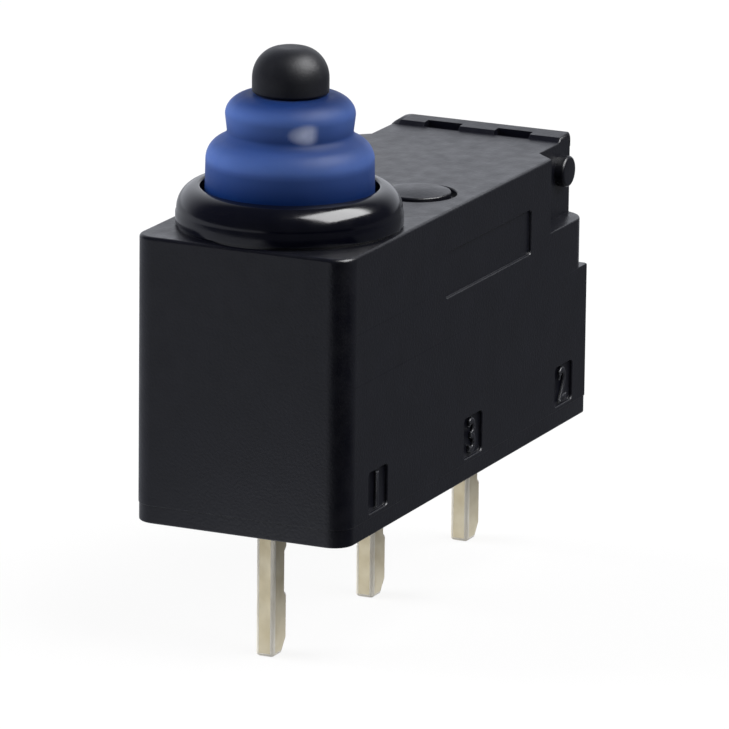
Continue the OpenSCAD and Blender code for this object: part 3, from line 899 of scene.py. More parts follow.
def hand_over(piece: Piece, body: Body, slot: Slot, *nodes: str) -> None:
    """Ties a finished piece to its body, in place of the frame's nodes.

    Args:
        piece: The finished piece.
        body: Body that it moves with.
        slot: Material slot of the piece's finish; not used.
        nodes: Nodes that it stands for.
    """
    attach(piece, body.value)
    if nodes:
        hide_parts(*nodes)
    LOG.info("%s rides on %s: %d faces", piece.name, body.value, len(piece.data.polygons))


def dress(mesh: Mesh, *materials: Material) -> None:
    """Gives a mesh its finishes in place of those it has.

    Args:
        mesh: The mesh.
        materials: Its finishes in order.
    """
    mesh.materials.clear()
    for material in materials:
        mesh.materials.append(material)


def dress_nodes(material: Material, *names: str) -> None:
    """Gives nodes of the frame their finish.

    Args:
        material: The finish.
        names: Names of the nodes.
    """
    for name in names:
        dress(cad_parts[name].data, material)
        LOG.info("%s dressed with %s", name, material.name)


@dataclass
class Housing:
    """Moulded case with its marks, and the base and potting inside it."""

    edge_r: float = 0.5 * MM
    far_edge_r: float = 0.63 * MM
    top_edge_r: float = 0.08 * MM
    foot_edge_r: float = 0.04 * MM
    ledge_r: float = 0.04 * MM
    skirt_h: float = 0.42 * MM
    skirt_step: float = 0.015 * MM
    # Height and inset of each ring over the skirt's step, as shares of the step
    skirt_rings: tuple[Flat, ...] = ((-0.5, 1.0), (0.0, 0.4), (0.5, 0.0))
    foot_ledge_z: float = 3.63 * MM
    head_z: float = 4.82 * MM
    half_head: float = 2.16 * MM
    head_l: float = 1.8 * MM
    ramp_l: float = 0.4 * MM
    boss_r: float = 0.37 * MM
    boss_edge_r: float = 0.07 * MM
    boss_reach: float = 0.24 * MM
    boss_inset: float = 0.55 * MM
    boss_drop: float = 0.68 * MM
    rim_t: float = 0.62 * MM
    rim_step: Flat = (0.1 * MM, 0.095 * MM)
    # Most of the rim's height that its step takes
    rim_step_share: float = 0.7
    rim_edge_r: float = 0.05 * MM
    # Length over which each end of the rim rises, on the marked side first
    rim_ends: Flat = (0.06 * MM, 0.3 * MM)
    slot_size: Flat = (0.28 * MM, 0.9 * MM)
    slot_depth: float = 0.3 * MM
    slot_inset: float = 0.47 * MM
    slot_pitch: float = 1.8 * MM
    panel_size: Flat = (4.73 * MM, 1.05 * MM)
    panel_centre: Flat = (0.97 * MM, 5.1 * MM)
    panel_depth: float = 0.06 * MM
    panel_r: float = 0.1 * MM
    tag_size: Flat = (1.0 * MM, 0.95 * MM)
    tag_z: float = 1.0 * MM
    tag_shift: float = 0.08 * MM
    tag_lag: float = 0.15 * MM
    tag_depth: float = 0.08 * MM
    ease: float = 0.02 * MM
    pad_r: float = 0.78 * MM
    pad_edge_r: float = 0.04 * MM
    pad_centre: Flat = (-0.05 * MM, -1.28 * MM)
    pad_groove: float = 0.14 * MM
    pad_groove_depth: float = 0.14 * MM
    pad_rise: float = 0.055 * MM
    pad_crown: float = 0.085 * MM
    # Places of the crown's rings, as shares of the way from the edge to the middle
    crown_shares: tuple[float, ...] = (0.15, 0.3, 0.45, 0.6, 0.75, 0.9, 0.98)
    bore_r: float = 0.9 * MM
    roof: float = 0.85 * MM
    room_half_w: float = 1.88 * MM
    room_inset: Flat = (0.65 * MM, 0.43 * MM)
    far_ceiling_z: float = 4.325 * MM
    far_room_l: float = 2.85 * MM
    base_top: float = 1.6 * MM
    numeral_h: float = 0.83 * MM
    numeral_narrow: float = 0.76
    # Depth, offset and bevel of a digit before it is brought to size
    numeral_extrude: float = 0.01
    numeral_offset: float = -0.03
    numeral_bevel: float = 0.05
    numeral_bevel_steps: int = 3
    numerals: tuple[str, str, str] = ("1", "3", "2")

    def __post_init__(self) -> None:
        """Takes the outer sizes and the places of the other pieces from the frame."""
        self.low, self.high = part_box("case")
        self.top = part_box("retaining_ring")[0].z
        self.half_w = self.high.y
        self.head_x = self.high.x - self.head_l
        self.ramp_x = self.head_x - self.ramp_l
        pin_low, pin_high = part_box("plunger")
        self.pin_x = (pin_low.x + pin_high.x) / 2
        self.pocket_low, self.pocket_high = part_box("sealing_resin")

    def plan(self, inset: float, far_r: float, far_half_w: float) -> Outline:
        """Outline of the case from above.

        Args:
            inset: Distance inside the full outline.
            far_r: Radius of the far corners.
            far_half_w: Half of the width at the far end.

        Returns:
            Points from the near corner of the marked side, round the far end and back.
        """
        near_r = max(self.edge_r - inset, SHARP)
        tip_r = max(far_r - inset, SHARP)
        side_y = self.half_w - inset
        head_y = far_half_w - inset
        near_x = self.low.x + inset
        far_x = self.high.x - inset
        side = arc((near_x + near_r, near_r - side_y), (near_r, near_r), 180, 270)
        side += [(self.ramp_x, -side_y), (self.head_x, -head_y)]
        side += arc((far_x - tip_r, tip_r - head_y), (tip_r, tip_r), 270, 360)
        return side + [(x, -y) for x, y in reversed(side)]

    def ledge(self, lower: Outline, upper: Outline, height: float) -> list[Ring]:
        """Rings over a ledge with a round outer edge.

        Args:
            lower: Outline under the ledge.
            upper: Outline above it.
            height: Height of the ledge.

        Returns:
            Rings from the wall below to the foot of the wall above.
        """
        rings = []
        for cosine, sine in quarter():
            shift = self.ledge_r * (1 - cosine)
            ring = []
            for start, end in zip(lower, upper):
                way = Vector(end) - Vector(start)
                reach = min(shift, way.length)
                point = Vector(start) + way.normalized() * reach
                ring.append(Vector((*point, height - self.ledge_r * (1 - sine))))
            rings.append(ring)
        return rings + [level(upper, height)]

    def foot_rings(self) -> list[Ring]:
        """Rings round the bottom edge and over the step of the skirt.

        Returns:
            The rings from below upwards.
        """
        rings = []
        for cosine, sine in quarter():
            inset = self.skirt_step + self.foot_edge_r * (1 - sine)
            rings.append(level(self.plan(inset, SHARP, self.half_w), self.foot_edge_r * (1 - cosine)))
        for lift, share in self.skirt_rings:
            outline = self.plan(self.skirt_step * share, SHARP, self.half_w)
            rings.append(level(outline, self.skirt_h + lift * self.skirt_step))
        return rings

    def top_rings(self) -> list[Ring]:
        """Rings round the top edge, which is nearly square on the narrow head.

        Returns:
            The rings from below upwards.
        """
        count = len(self.plan(0.0, SHARP, self.half_head)) // 2
        broad = QUARTER_STEPS + 2
        rings = []
        for cosine, sine in quarter():
            ring = []
            for k in range(count * 2):
                on_head = broad <= k < count * 2 - broad
                radius = self.ledge_r if on_head else self.top_edge_r
                x, y = self.plan(radius * (1 - cosine), SHARP, self.half_head)[k]
                ring.append(Vector((x, y, self.top - radius * (1 - sine))))
            rings.append(ring)
        return rings

    def shell(self) -> Piece:
        """Outer form of the case as one skin from the skirt to the top.

        Returns:
            The case before it is hollowed.
        """
        square = self.plan(0.0, SHARP, self.half_w)
        rounded = self.plan(0.0, self.far_edge_r, self.half_w)
        narrow = self.plan(0.0, SHARP, self.half_head)
        rings = self.foot_rings()
        rings += self.ledge(square, rounded, self.foot_ledge_z)
        rings += self.ledge(rounded, narrow, self.head_z)
        rings += self.top_rings()
        return loft("case_body", rings)

    def rim_section(self, rise: float) -> Outline:
        """Section of the rim: a low step, a gentle slope and a round outer edge.

        Args:
            rise: Height of its top above the case.

        Returns:
            Its points in X and Z.
        """
        near, far, radius = self.high.x - self.rim_t, self.high.x, self.rim_edge_r
        points = [(near, self.top - OVER), (far, self.top - OVER)]
        points += arc((far - radius, self.top + rise - radius), (radius, radius), 0, 90)
        step = min(self.rim_step[1], rise * self.rim_step_share)
        return points + [(near + self.rim_step[0], self.top + step), (near, self.top)]

    def far_rim(self) -> Piece:
        """Raised rim along the far end, rounded at both ends.

        Returns:
            The rim.
        """
        rise = self.high.z - self.top
        stations = []
        for side, reach in zip((-1, 1), self.rim_ends):
            ends = [(side * (self.half_head - reach * (1 - c)), rise * s) for c, s in quarter()]
            stations += ends if side < 0 else list(reversed(ends))
        rings = [[Vector((x, y, z)) for x, z in self.rim_section(lift)] for y, lift in stations]
        return loft("rim", rings)

    def boss(self, side: int) -> Piece:
        """Round pivot boss on one side of the narrow head.

        Args:
            side: Minus one on the marked side and one on the other.

        Returns:
            The boss.
        """
        face = self.half_head + self.boss_reach
        sections = [(self.half_head - OVER, self.boss_r)]
        for cosine, sine in quarter():
            radius = self.boss_r - self.boss_edge_r * (1 - cosine)
            sections.append((face - self.boss_edge_r * (1 - sine), radius))
        place = Matrix.Translation((self.high.x - self.boss_inset, 0.0, self.top - self.boss_drop))
        return spun("boss", sections, place @ Matrix.Rotation(-90 * side * DEGREE, 4, "X"))

    def pad(self) -> Piece:
        """Low crowned pad with a soft edge that stands in its groove.

        Returns:
            The pad.
        """
        edge, flat_r = self.pad_edge_r, self.pad_r - self.pad_edge_r
        sections = [(-2 * self.pad_groove_depth, self.pad_r)]
        for cosine, sine in quarter():
            sections.append((self.pad_rise - edge * (1 - sine), flat_r + edge * cosine))
        for share in self.crown_shares:
            rest = 1 - share
            sections.append((self.pad_rise + self.pad_crown * (1 - rest ** 2), flat_r * rest))
        return spun("pad", sections, Matrix.Translation((*self.pad_centre, self.top)))

    def pad_well(self) -> Piece:
        """Round well that the pad's groove is left of.

        Returns:
            Its tool body.
        """
        radius = self.pad_r + self.pad_groove
        sections = [
            (-self.pad_groove_depth, radius), (-self.ease, radius),
            (0.0, radius + self.ease), (OVER, radius + self.ease + OVER),
        ]
        return spun("pad_well", sections, Matrix.Translation((*self.pad_centre, self.top)))

    def side_place(self, x: float, z: float) -> Matrix:
        """Frame on the marked side, with its face in X and Z and outwards along -Y."""
        return Matrix.Translation((x, -self.half_w, z)) @ UPRIGHT

    def tag_places(self) -> list[Matrix]:
        """Frames of the small panels, one above each terminal."""
        places = [blade_centre(n) - self.tag_shift - k * self.tag_lag for k, n in enumerate(TERMINALS)]
        return [self.side_place(x, self.tag_z) for x in places]

    def recesses(self) -> list[Piece]:
        """Panels on the marked side and slots by the rim.

        Returns:
            Their tool bodies.
        """
        sizes = (self.panel_size, self.tag_size, self.slot_size)
        half_panel, half_tag, half_slot = ((length / 2, width / 2) for length, width in sizes)
        panel_place = self.side_place(*self.panel_centre)
        tools = [pocket("panel", panel_place, half_panel, self.panel_r, self.panel_depth, self.ease)]
        for place in self.tag_places():
            tools.append(pocket("tag", place, half_tag, self.panel_r, self.tag_depth, self.ease))
        outline, slot_x = round_rectangle(half_slot, SHARP), self.high.x - self.slot_inset
        for side in (-1, 1):
            place = Matrix.Translation((slot_x, side * self.slot_pitch / 2, self.top))
            tools.append(prism("rim_slot", outline, (-self.slot_depth, OVER), place))
        return tools

    def hollows(self) -> list[Piece]:
        """Pocket of the base, room of the mechanism and bore of the pin.

        Returns:
            Their tool bodies.
        """
        low, high = self.pocket_low, self.pocket_high
        opening = round_rectangle(((high.x - low.x) / 2, high.y), SHARP)
        middle = Matrix.Translation(((low.x + high.x) / 2, 0.0, 0.0))
        base_pocket = prism("base_pocket", opening, (-OVER, self.base_top), middle)
        ceiling = self.top - self.roof
        near, far = self.low.x + self.room_inset[0], self.high.x - self.room_inset[1]
        step_x = self.high.x - self.far_room_l
        profile = [
            (near, self.base_top - OVER), (far, self.base_top - OVER), (far, self.far_ceiling_z),
            (step_x, self.far_ceiling_z), (step_x, ceiling), (near, ceiling),
        ]
        room = prism("room", profile, (-self.room_half_w, self.room_half_w), UPRIGHT)
        mouth = circle((self.pin_x, 0.0), self.bore_r)
        bore = prism("bore", mouth, (ceiling - OVER, self.top + OVER))
        return [base_pocket, room, bore]

    def case(self, material: Material) -> Piece:
        """Builds the case.

        Args:
            material: Its finish.

        Returns:
            The case.
        """
        body = self.shell()
        combine(body, [self.far_rim(), self.boss(-1), self.boss(1)], Join.ADD)
        combine(body, [self.pad_well()], Join.CUT)
        combine(body, [self.pad()], Join.ADD)
        combine(body, self.recesses() + self.hollows(), Join.CUT)
        weld(body)
        smooth(body, flat_faces=True)
        dress(body.data, material)
        return body

    def numeral(self, digit: str, place: Matrix) -> Mesh:
        """Raised digit on the floor of a small panel.

        Args:
            digit: The digit.
            place: Frame of the panel.

        Returns:
            Its mesh in place.
        """
        letter = bpy.data.curves.new("digit", "FONT")
        letter.body = digit
        letter.align_x, letter.align_y = "CENTER", "CENTER"
        letter.extrude, letter.offset = self.numeral_extrude, self.numeral_offset
        letter.bevel_depth, letter.bevel_resolution = self.numeral_bevel, self.numeral_bevel_steps
        stand_in = show("digit", letter)
        graph = bpy.context.evaluated_depsgraph_get()
        mesh = bpy.data.meshes.new_from_object(stand_in.evaluated_get(graph))
        bpy.data.objects.remove(stand_in)
        heights = [v.co.y for v in mesh.vertices]
        depths = [v.co.z for v in mesh.vertices]
        scale = self.numeral_h / (max(heights) - min(heights))
        rise = self.tag_depth / (max(depths) - min(depths))
        middle = Matrix.Translation((0.0, -(max(heights) + min(heights)) / 2, -max(depths)))
        sized = Matrix.Diagonal((scale * self.numeral_narrow, scale, rise, 1.0))
        mesh.transform(place @ sized @ middle)
        return mesh

    def marks(self, material: Material) -> Piece:
        """Builds the raised terminal numbers as one piece.

        Args:
            material: Their finish.

        Returns:
            The numbers.
        """
        work = bmesh.new()
        for digit, place in zip(self.numerals, self.tag_places()):
            work.from_mesh(self.numeral(digit, place))
        mesh = keep(work, bpy.data.meshes.new("terminal_numbers"))
        dress(mesh, material)
        piece = show("terminal_numbers", mesh)
        weld(piece)
        smooth(piece)
        return piece

    def build(self) -> None:
        """Builds and dresses the housing."""
        hand_over(self.case(CASE_FINISH.material()), Body.HOUSING, Slot.CASE, "case")
        hand_over(self.marks(MARK_FINISH.material()), Body.HOUSING, Slot.CASE)
        dress_nodes(BASE_FINISH.material(), "base")
        dress_nodes(RESIN_FINISH.material(), "sealing_resin")


@dataclass(frozen=True)
class PaintedLightBand:
    """Band of painted light round the boot, in millimetres above the case; outside the bands the boot
    keeps its painted shade.
    """

    height: float
    below: float
    above: float
    strength: float = 1.0

    def at(self, height: float) -> float:
        """Strength of the band at a height, fading smoothly to both sides.

        Args:
            height: Height above the case in millimetres.

        Returns:
            The strength.
        """
        reach = self.above if height > self.height else self.below
        share = max(1 - abs(height - self.height) / reach, 0.0)
        return self.strength * share * share * (3 - 2 * share)


@dataclass
class Seal:
    """Polished ring and the soft boot that it clamps."""

    turning: TurningTree
    ring_edge: Flat = (0.48 * MM, 0.56 * MM)
    ring_step: float = 0.02 * MM
    ring_lip_r: float = 0.06 * MM
    ring_bore_r: float = 2.0 * MM
    relief_h: float = 0.07 * MM
    relief: float = 0.05 * MM
    flange_clear: float = 0.03 * MM
    flange_h: float = 0.36 * MM
    low_r: float = 1.89 * MM
    low_flare: float = 0.02 * MM
    low_h: float = 1.99 * MM
    low_edge: Flat = (0.47 * MM, 0.5 * MM)
    up_r: float = 1.46 * MM
    up_edge: Flat = (0.6 * MM, 0.46 * MM)
    waist: float = 0.045 * MM
    # Angle in degrees at which the shoulder's round ends in the crease, and the crease's height
    crease_turn: float = 66.0
    crease_h: float = 0.16 * MM
    boot_wall: float = 0.34 * MM
    neck_r: float = 0.65 * MM
    wall_steps: int = 12
    # Painted highlight: its middle and its crisp end round the axis in degrees, how crisp that is, the
    # height of its middle above the case in millimetres, and its reach both ways
    painted_highlight_turn: Flat = (221.0, 232.0)
    painted_highlight_cut: float = 7.0
    painted_highlight_height: float = 2.35
    painted_highlight_reach: Flat = (19.0, 0.25)
    # Bands of painted light on the shoulder and the upper round; the crease between them and the foot by
    # the ring keep a painted shade
    painted_light: tuple[PaintedLightBand, ...] = (
        PaintedLightBand(1.59, 0.2, 0.6, 0.52), PaintedLightBand(1.59, 0.8, 0.6, 0.44), PaintedLightBand(2.64, 0.8, 0.36, 0.88),
    )

    def __post_init__(self) -> None:
        """Takes the outer sizes from the frame."""
        self.ring_low, self.ring_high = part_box("retaining_ring")
        self.boot_low, self.boot_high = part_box("rubber_boot")
        self.axis = Vector(((self.ring_low.x + self.ring_high.x) / 2, 0.0, 0.0))

    def ring_section(self) -> Outline:
        """Closed half section of the ring.

        Returns:
            Radius and height of each point.
        """
        foot, top = self.ring_low.z, self.ring_high.z
        outer = self.ring_high.x - self.axis.x
        room_r = self.boot_high.x - self.axis.x + self.flange_clear
        room_z = foot + self.flange_h + self.flange_clear
        edge, step, lip = self.ring_edge, self.ring_step, self.ring_lip_r
        relief_r, relief_z = outer - self.relief, foot + self.relief_h
        points = [(room_r, foot), (relief_r, foot), (relief_r, relief_z)]
        points += [(outer, relief_z), (outer, top - edge[1] - 3 * step)]
        points += arc((outer - step - edge[0], top - edge[1]), edge, 0, 90, 2 * QUARTER_STEPS)
        points += arc((self.ring_bore_r + lip, top - lip), (lip, lip), 90, 180)
        points += [(self.ring_bore_r, room_z), (room_r, room_z), (room_r, foot)]
        return points

    def wall(self, low: Flat, high: Flat) -> Outline:
        """Points up a wall from its lower end, with its upper end left out."""
        shares = [k / self.wall_steps for k in range(self.wall_steps)]
        return [tuple(a + (b - a) * share for a, b in zip(low, high)) for share in shares]

    def boot_section(self) -> Outline:
        """Closed half section of the boot, outside upwards and inside downwards.

        Returns:
            Radius and height of each point.
        """
        foot, top = self.boot_low.z, self.boot_high.z
        flange_r = self.boot_high.x - self.axis.x
        shoulder = foot + self.low_h
        waist_r = self.up_r - self.waist
        wall = self.boot_wall
        points = [(self.low_r - wall, foot), (flange_r, foot), (flange_r, foot + self.flange_h)]
        round_steps = 2 * QUARTER_STEPS
        low_centre = (self.low_r - self.low_edge[0], shoulder - self.low_edge[1])
        low_foot = (self.low_r + self.low_flare, foot + self.flange_h)
        points += self.wall(low_foot, (self.low_r, low_centre[1]))
        points += arc(low_centre, self.low_edge, 0, self.crease_turn, round_steps)
        slope = (points[-1][1] - points[-2][1]) / (points[-1][0] - points[-2][0])
        corner = (waist_r, points[-1][1] + slope * (waist_r - points[-1][0]))
        points += bend(points[-1], corner, (waist_r, shoulder + self.crease_h))
        up_centre = (self.up_r - self.up_edge[0], top - self.up_edge[1])
        points += self.wall(points[-1], (self.up_r, up_centre[1]))[1:]
        points += arc(up_centre, self.up_edge, 0, 90, round_steps)
        points += [(self.neck_r, top), (self.neck_r, top - wall)]
        points += [(waist_r - wall, top - wall), (waist_r - wall, shoulder - wall)]
        points += [(self.low_r - wall, shoulder - wall), (self.low_r - wall, foot)]
        return points

    def painted_highlight_at(self, turn: float, height: float) -> float:
        """Strength of the painted highlight at a place on the upper tier.

        Args:
            turn: Angle about the boot's axis in degrees.
            height: Height above the case in millimetres.

        Returns:
            The strength, which fades at the spot's edges.
        """
        across = (turn - self.painted_highlight_turn[0]) / self.painted_highlight_reach[0]
        up = (height - self.painted_highlight_height) / self.painted_highlight_reach[1]
        share = min(max(1 - math.hypot(across, up), 0.0), 1.0)
        cut = min(max((self.painted_highlight_turn[1] - turn) / self.painted_highlight_cut, 0.0), 1.0)
        return share * (2 - share) * cut

    def spread_marks(self, boot: Piece) -> None:
        """Writes the painted light and shade and the painted highlight to the boot's points, so that they
        move with the rubber.

        Args:
            boot: The boot.
        """
        names = (BOOT_FINISH.painted_light, BOOT_FINISH.painted_highlight)
        for name in names:
            boot.data.attributes.new(name, "FLOAT", "POINT")
        painted_light, painted_highlight = (boot.data.attributes[name] for name in names)
        for k, vertex in enumerate(boot.data.vertices):
            place = vertex.co - self.axis
            height = (place.z - self.boot_low.z) / MM
            painted_light.data[k].value = sum(band.at(height) for band in self.painted_light)
            painted_highlight.data[k].value = self.painted_highlight_at(math.atan2(place.y, place.x) / DEGREE % 360, height)

    def build(self) -> None:
        """Builds and dresses the ring and the boot."""
        ring = self.turning.turn("ring_piece", self.ring_section(), self.axis, RING_FINISH.material())
        hand_over(ring, Body.HOUSING, Slot.RING, "retaining_ring")
        boot = self.turning.turn("boot_piece", self.boot_section(), self.axis, BOOT_FINISH.material())
        self.spread_marks(boot)
        hand_over(boot, Body.HOUSING, Slot.BOOT, "rubber_boot")
        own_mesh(boot)


@dataclass
class PushPin:
    """Push pin with its rounded head, gripped neck, stem, stop foot and nose."""

    turning: TurningTree
    head_r: float = 0.865 * MM
    head_h: float = 1.03 * MM
    head_edge: Flat = (0.64 * MM, 0.7 * MM)
    head_foot_r: float = 0.06 * MM
    neck_r: float = 0.62 * MM
    stem_r: float = 0.85 * MM
    stem_drop: float = 0.4 * MM
    foot_h: float = 0.4 * MM
    nose_r: float = 0.5 * MM

    def section(self, low: Vector, high: Vector) -> Outline:
        """Half section from the nose to the top.

        Args:
            low: Lowest corner of the pin.
            high: Highest corner of the pin.

        Returns:
            Radius and height of each point.
        """
        foot_r = (high.x - low.x) / 2
        foot_z = low.z + self.nose_r
        stem_z = foot_z + self.foot_h
        head_z = high.z - self.head_h
        edge, soft = self.head_edge, self.head_foot_r
        points = arc((0.0, foot_z), (self.nose_r, self.nose_r), 270, 360)
        points += [(foot_r, foot_z), (foot_r, stem_z), (self.stem_r, stem_z)]
        points += [(self.stem_r, head_z - self.stem_drop), (self.neck_r, head_z - self.stem_drop)]
        points += [(self.neck_r, head_z)]
        points += arc((self.head_r - soft, head_z + soft), (soft, soft), 270, 360)
        points += arc((self.head_r - edge[0], high.z - edge[1]), edge, 0, 90, 2 * QUARTER_STEPS)
        return points + [(0.0, high.z)]

    def build(self) -> None:
        """Builds and dresses the pin."""
        low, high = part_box("plunger")
        axis = Vector(((low.x + high.x) / 2, 0.0, 0.0))
        pin = self.turning.turn("pin_piece", self.section(low, high), axis, PIN_FINISH.material())
        hand_over(pin, Body.PUSH_PIN, Slot.PIN, "plunger")


def blade_centre(name: str) -> float:
    """Place along the case of a terminal's blade, from its points under the board."""
    places = [v.co.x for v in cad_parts[name].data.vertices if v.co.z < BLADE_Z]
    return (min(places) + max(places)) / 2


@dataclass
class Terminals:
    """Three stamped terminals with eased edges, and the rivets on them."""

    blade_ease: float = 0.09 * MM
    ease_share: float = 0.35
    flat_angle: float = 1.0 * DEGREE
    edge_angle: float = 35 * DEGREE
    ease_steps: int = 4

    def mark_edges(self, mesh: Mesh) -> None:
        """Marks how far each edge is eased: fully along the blade, less on the rest.

        Args:
            mesh: Mesh of a terminal.
        """
        marks = mesh.attributes.new("bevel_weight_edge", "FLOAT", "EDGE")
        work = bmesh.new()
        work.from_mesh(mesh)
        for edge, mark in zip(work.edges, marks.data):
            if edge.is_manifold and edge.calc_face_angle() > self.edge_angle:
                low, high = sorted((v.co for v in edge.verts), key=lambda place: place.z)
                along_blade = low.z < 0 and abs(high.y - low.y) < WELD
                mark.value = 1.0 if along_blade else self.ease_share
        work.free()

    def eased(self, name: str, *materials: Material) -> Piece:
        """Copy of a terminal with its stamped edges eased.

        Args:
            name: Name of the terminal's node.
            materials: Finishes of its faces and of its eased edges, which carry a painted highlight.

        Returns:
            The eased terminal.
        """
        work = bmesh.new()
        work.from_mesh(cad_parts[name].data)
        bmesh.ops.remove_doubles(work, verts=work.verts, dist=WELD)
        bmesh.ops.dissolve_limit(
            work, angle_limit=self.flat_angle, use_dissolve_boundaries=False,
            verts=work.verts, edges=work.edges,
        )
        mesh = keep(work, bpy.data.meshes.new(f"{name}_piece"))
        dress(mesh, *materials)
        self.mark_edges(mesh)
        piece = show(f"{name}_piece", mesh)
        step = piece.modifiers.new("eased_edges", "BEVEL")
        step.width = self.blade_ease
        step.segments = self.ease_steps
        step.limit_method = "WEIGHT"
        step.use_clamp_overlap = False
        # The eased edges take the second finish, their painted highlight
        step.material = 1
        bake(piece)
        smooth(piece, flat_faces=True)
        return piece

    def build(self) -> None:
        """Builds and dresses the terminals and their rivets."""
        finishes = TERMINAL_FINISH.material(), PAINTED_EDGE_HIGHLIGHT_FINISH.material()
        for name in TERMINALS:
            hand_over(self.eased(name, *finishes), Body.HOUSING, Slot.TERMINAL, name)
        rivets = ("normally_open_contact", "normally_closed_contact", "moving_contact")
        dress_nodes(CONTACT_FINISH.material(), *rivets)


@dataclass
class SnapAction:
    """Lever, moving arm and the coil spring between their hooks."""

    coil_r: float = 0.34 * MM
    wire_r: float = 0.06 * MM
    turns: float = 9.0
    leg_share: float = 0.035
    lead_share: float = 0.06
    points_per_turn: int = 40
    wire_sides: int = 10
    lever_end: Vector = field(default_factory=lambda: Vector((-1.898 * MM, 0.0, 3.434 * MM)))
    arm_end: Vector = field(default_factory=lambda: Vector((1.93 * MM, 0.0, 3.4 * MM)))

    def spring(self, material: Material) -> Piece:
        """Winds the spring.

        Args:
            material: Its finish.

        Returns:
            The spring.
        """
        piece = show("spring_piece", bpy.data.meshes.new("spring_piece"))
        CoilTree().run(piece, {
            "Start": self.lever_end, "End": self.arm_end, "Turns": self.turns,
            "Coil Radius": self.coil_r, "Wire Radius": self.wire_r,
            "Leg Share": self.leg_share, "Lead Share": self.lead_share,
            "Points": int(self.turns * self.points_per_turn) + 1, "Wire Sides": self.wire_sides,
            "Material": material,
        })
        weld(piece)
        smooth(piece)
        return piece

    def half(self, spring: Piece, body: Body, end: Vector, middle: Vector) -> None:
        """Cuts off the half of the spring on one body's side and shows it in place of the frame's spring.

        Args:
            spring: The whole spring.
            body: Body that holds this half's end.
            end: Place of that end.
            middle: Middle of the spring, which stays still.
        """
        work = bmesh.new()
        work.from_mesh(spring.data)
        cut = bmesh.ops.bisect_plane(
            work, geom=[*work.verts, *work.edges, *work.faces],
            plane_co=middle, plane_no=middle - end, clear_outer=True,
        )
        rim = [part for part in cut["geom_cut"] if isinstance(part, bmesh.types.BMEdge)]
        bmesh.ops.holes_fill(work, edges=rim)
        mesh = keep(work, spring.data.copy())
        piece = show(f"spring_{body.value}_half", mesh)
        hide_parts("snap_spring")
        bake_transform(piece)
        LOG.info("%s bends towards its end: %d faces", piece.name, len(mesh.polygons))

    def build(self) -> None:
        """Builds and dresses the mechanism."""
        dress_nodes(BRONZE_FINISH.material(), "drive_lever", "contact_arm")
        spring = self.spring(STEEL_FINISH.material())
        middle = (self.lever_end + self.arm_end) / 2
        self.half(spring, Body.LEVER, self.lever_end, middle)
        self.half(spring, Body.ARM, self.arm_end, middle)
        bpy.data.objects.remove(spring)


@dataclass(frozen=True)
class SoftBox:
    """Rectangular studio light that faces the switch."""

    name: str
    way: tuple[float, float, float]
    distance: float
    size: Flat
    power: float
    mirrored: bool = True
    lights: bool = True

    def hang(self, target: Vector) -> None:
        """Hangs the light so that it faces a point.

        Args:
            target: Point that the light faces.
        """
        lamp = bpy.data.lights.new(self.name, "AREA")
        lamp.shape = "RECTANGLE"
        lamp.size, lamp.size_y = self.size
        lamp.energy = self.power
        holder = bpy.data.objects.new(self.name, lamp)
        way = Vector(self.way).normalized()
        holder.location = target + way * self.distance
        holder.rotation_euler = way.to_track_quat("Z", "Y").to_euler()
        holder.visible_camera = False
        holder.visible_glossy = self.mirrored
        holder.visible_diffuse = self.lights
        bpy.context.scene.collection.objects.link(holder)


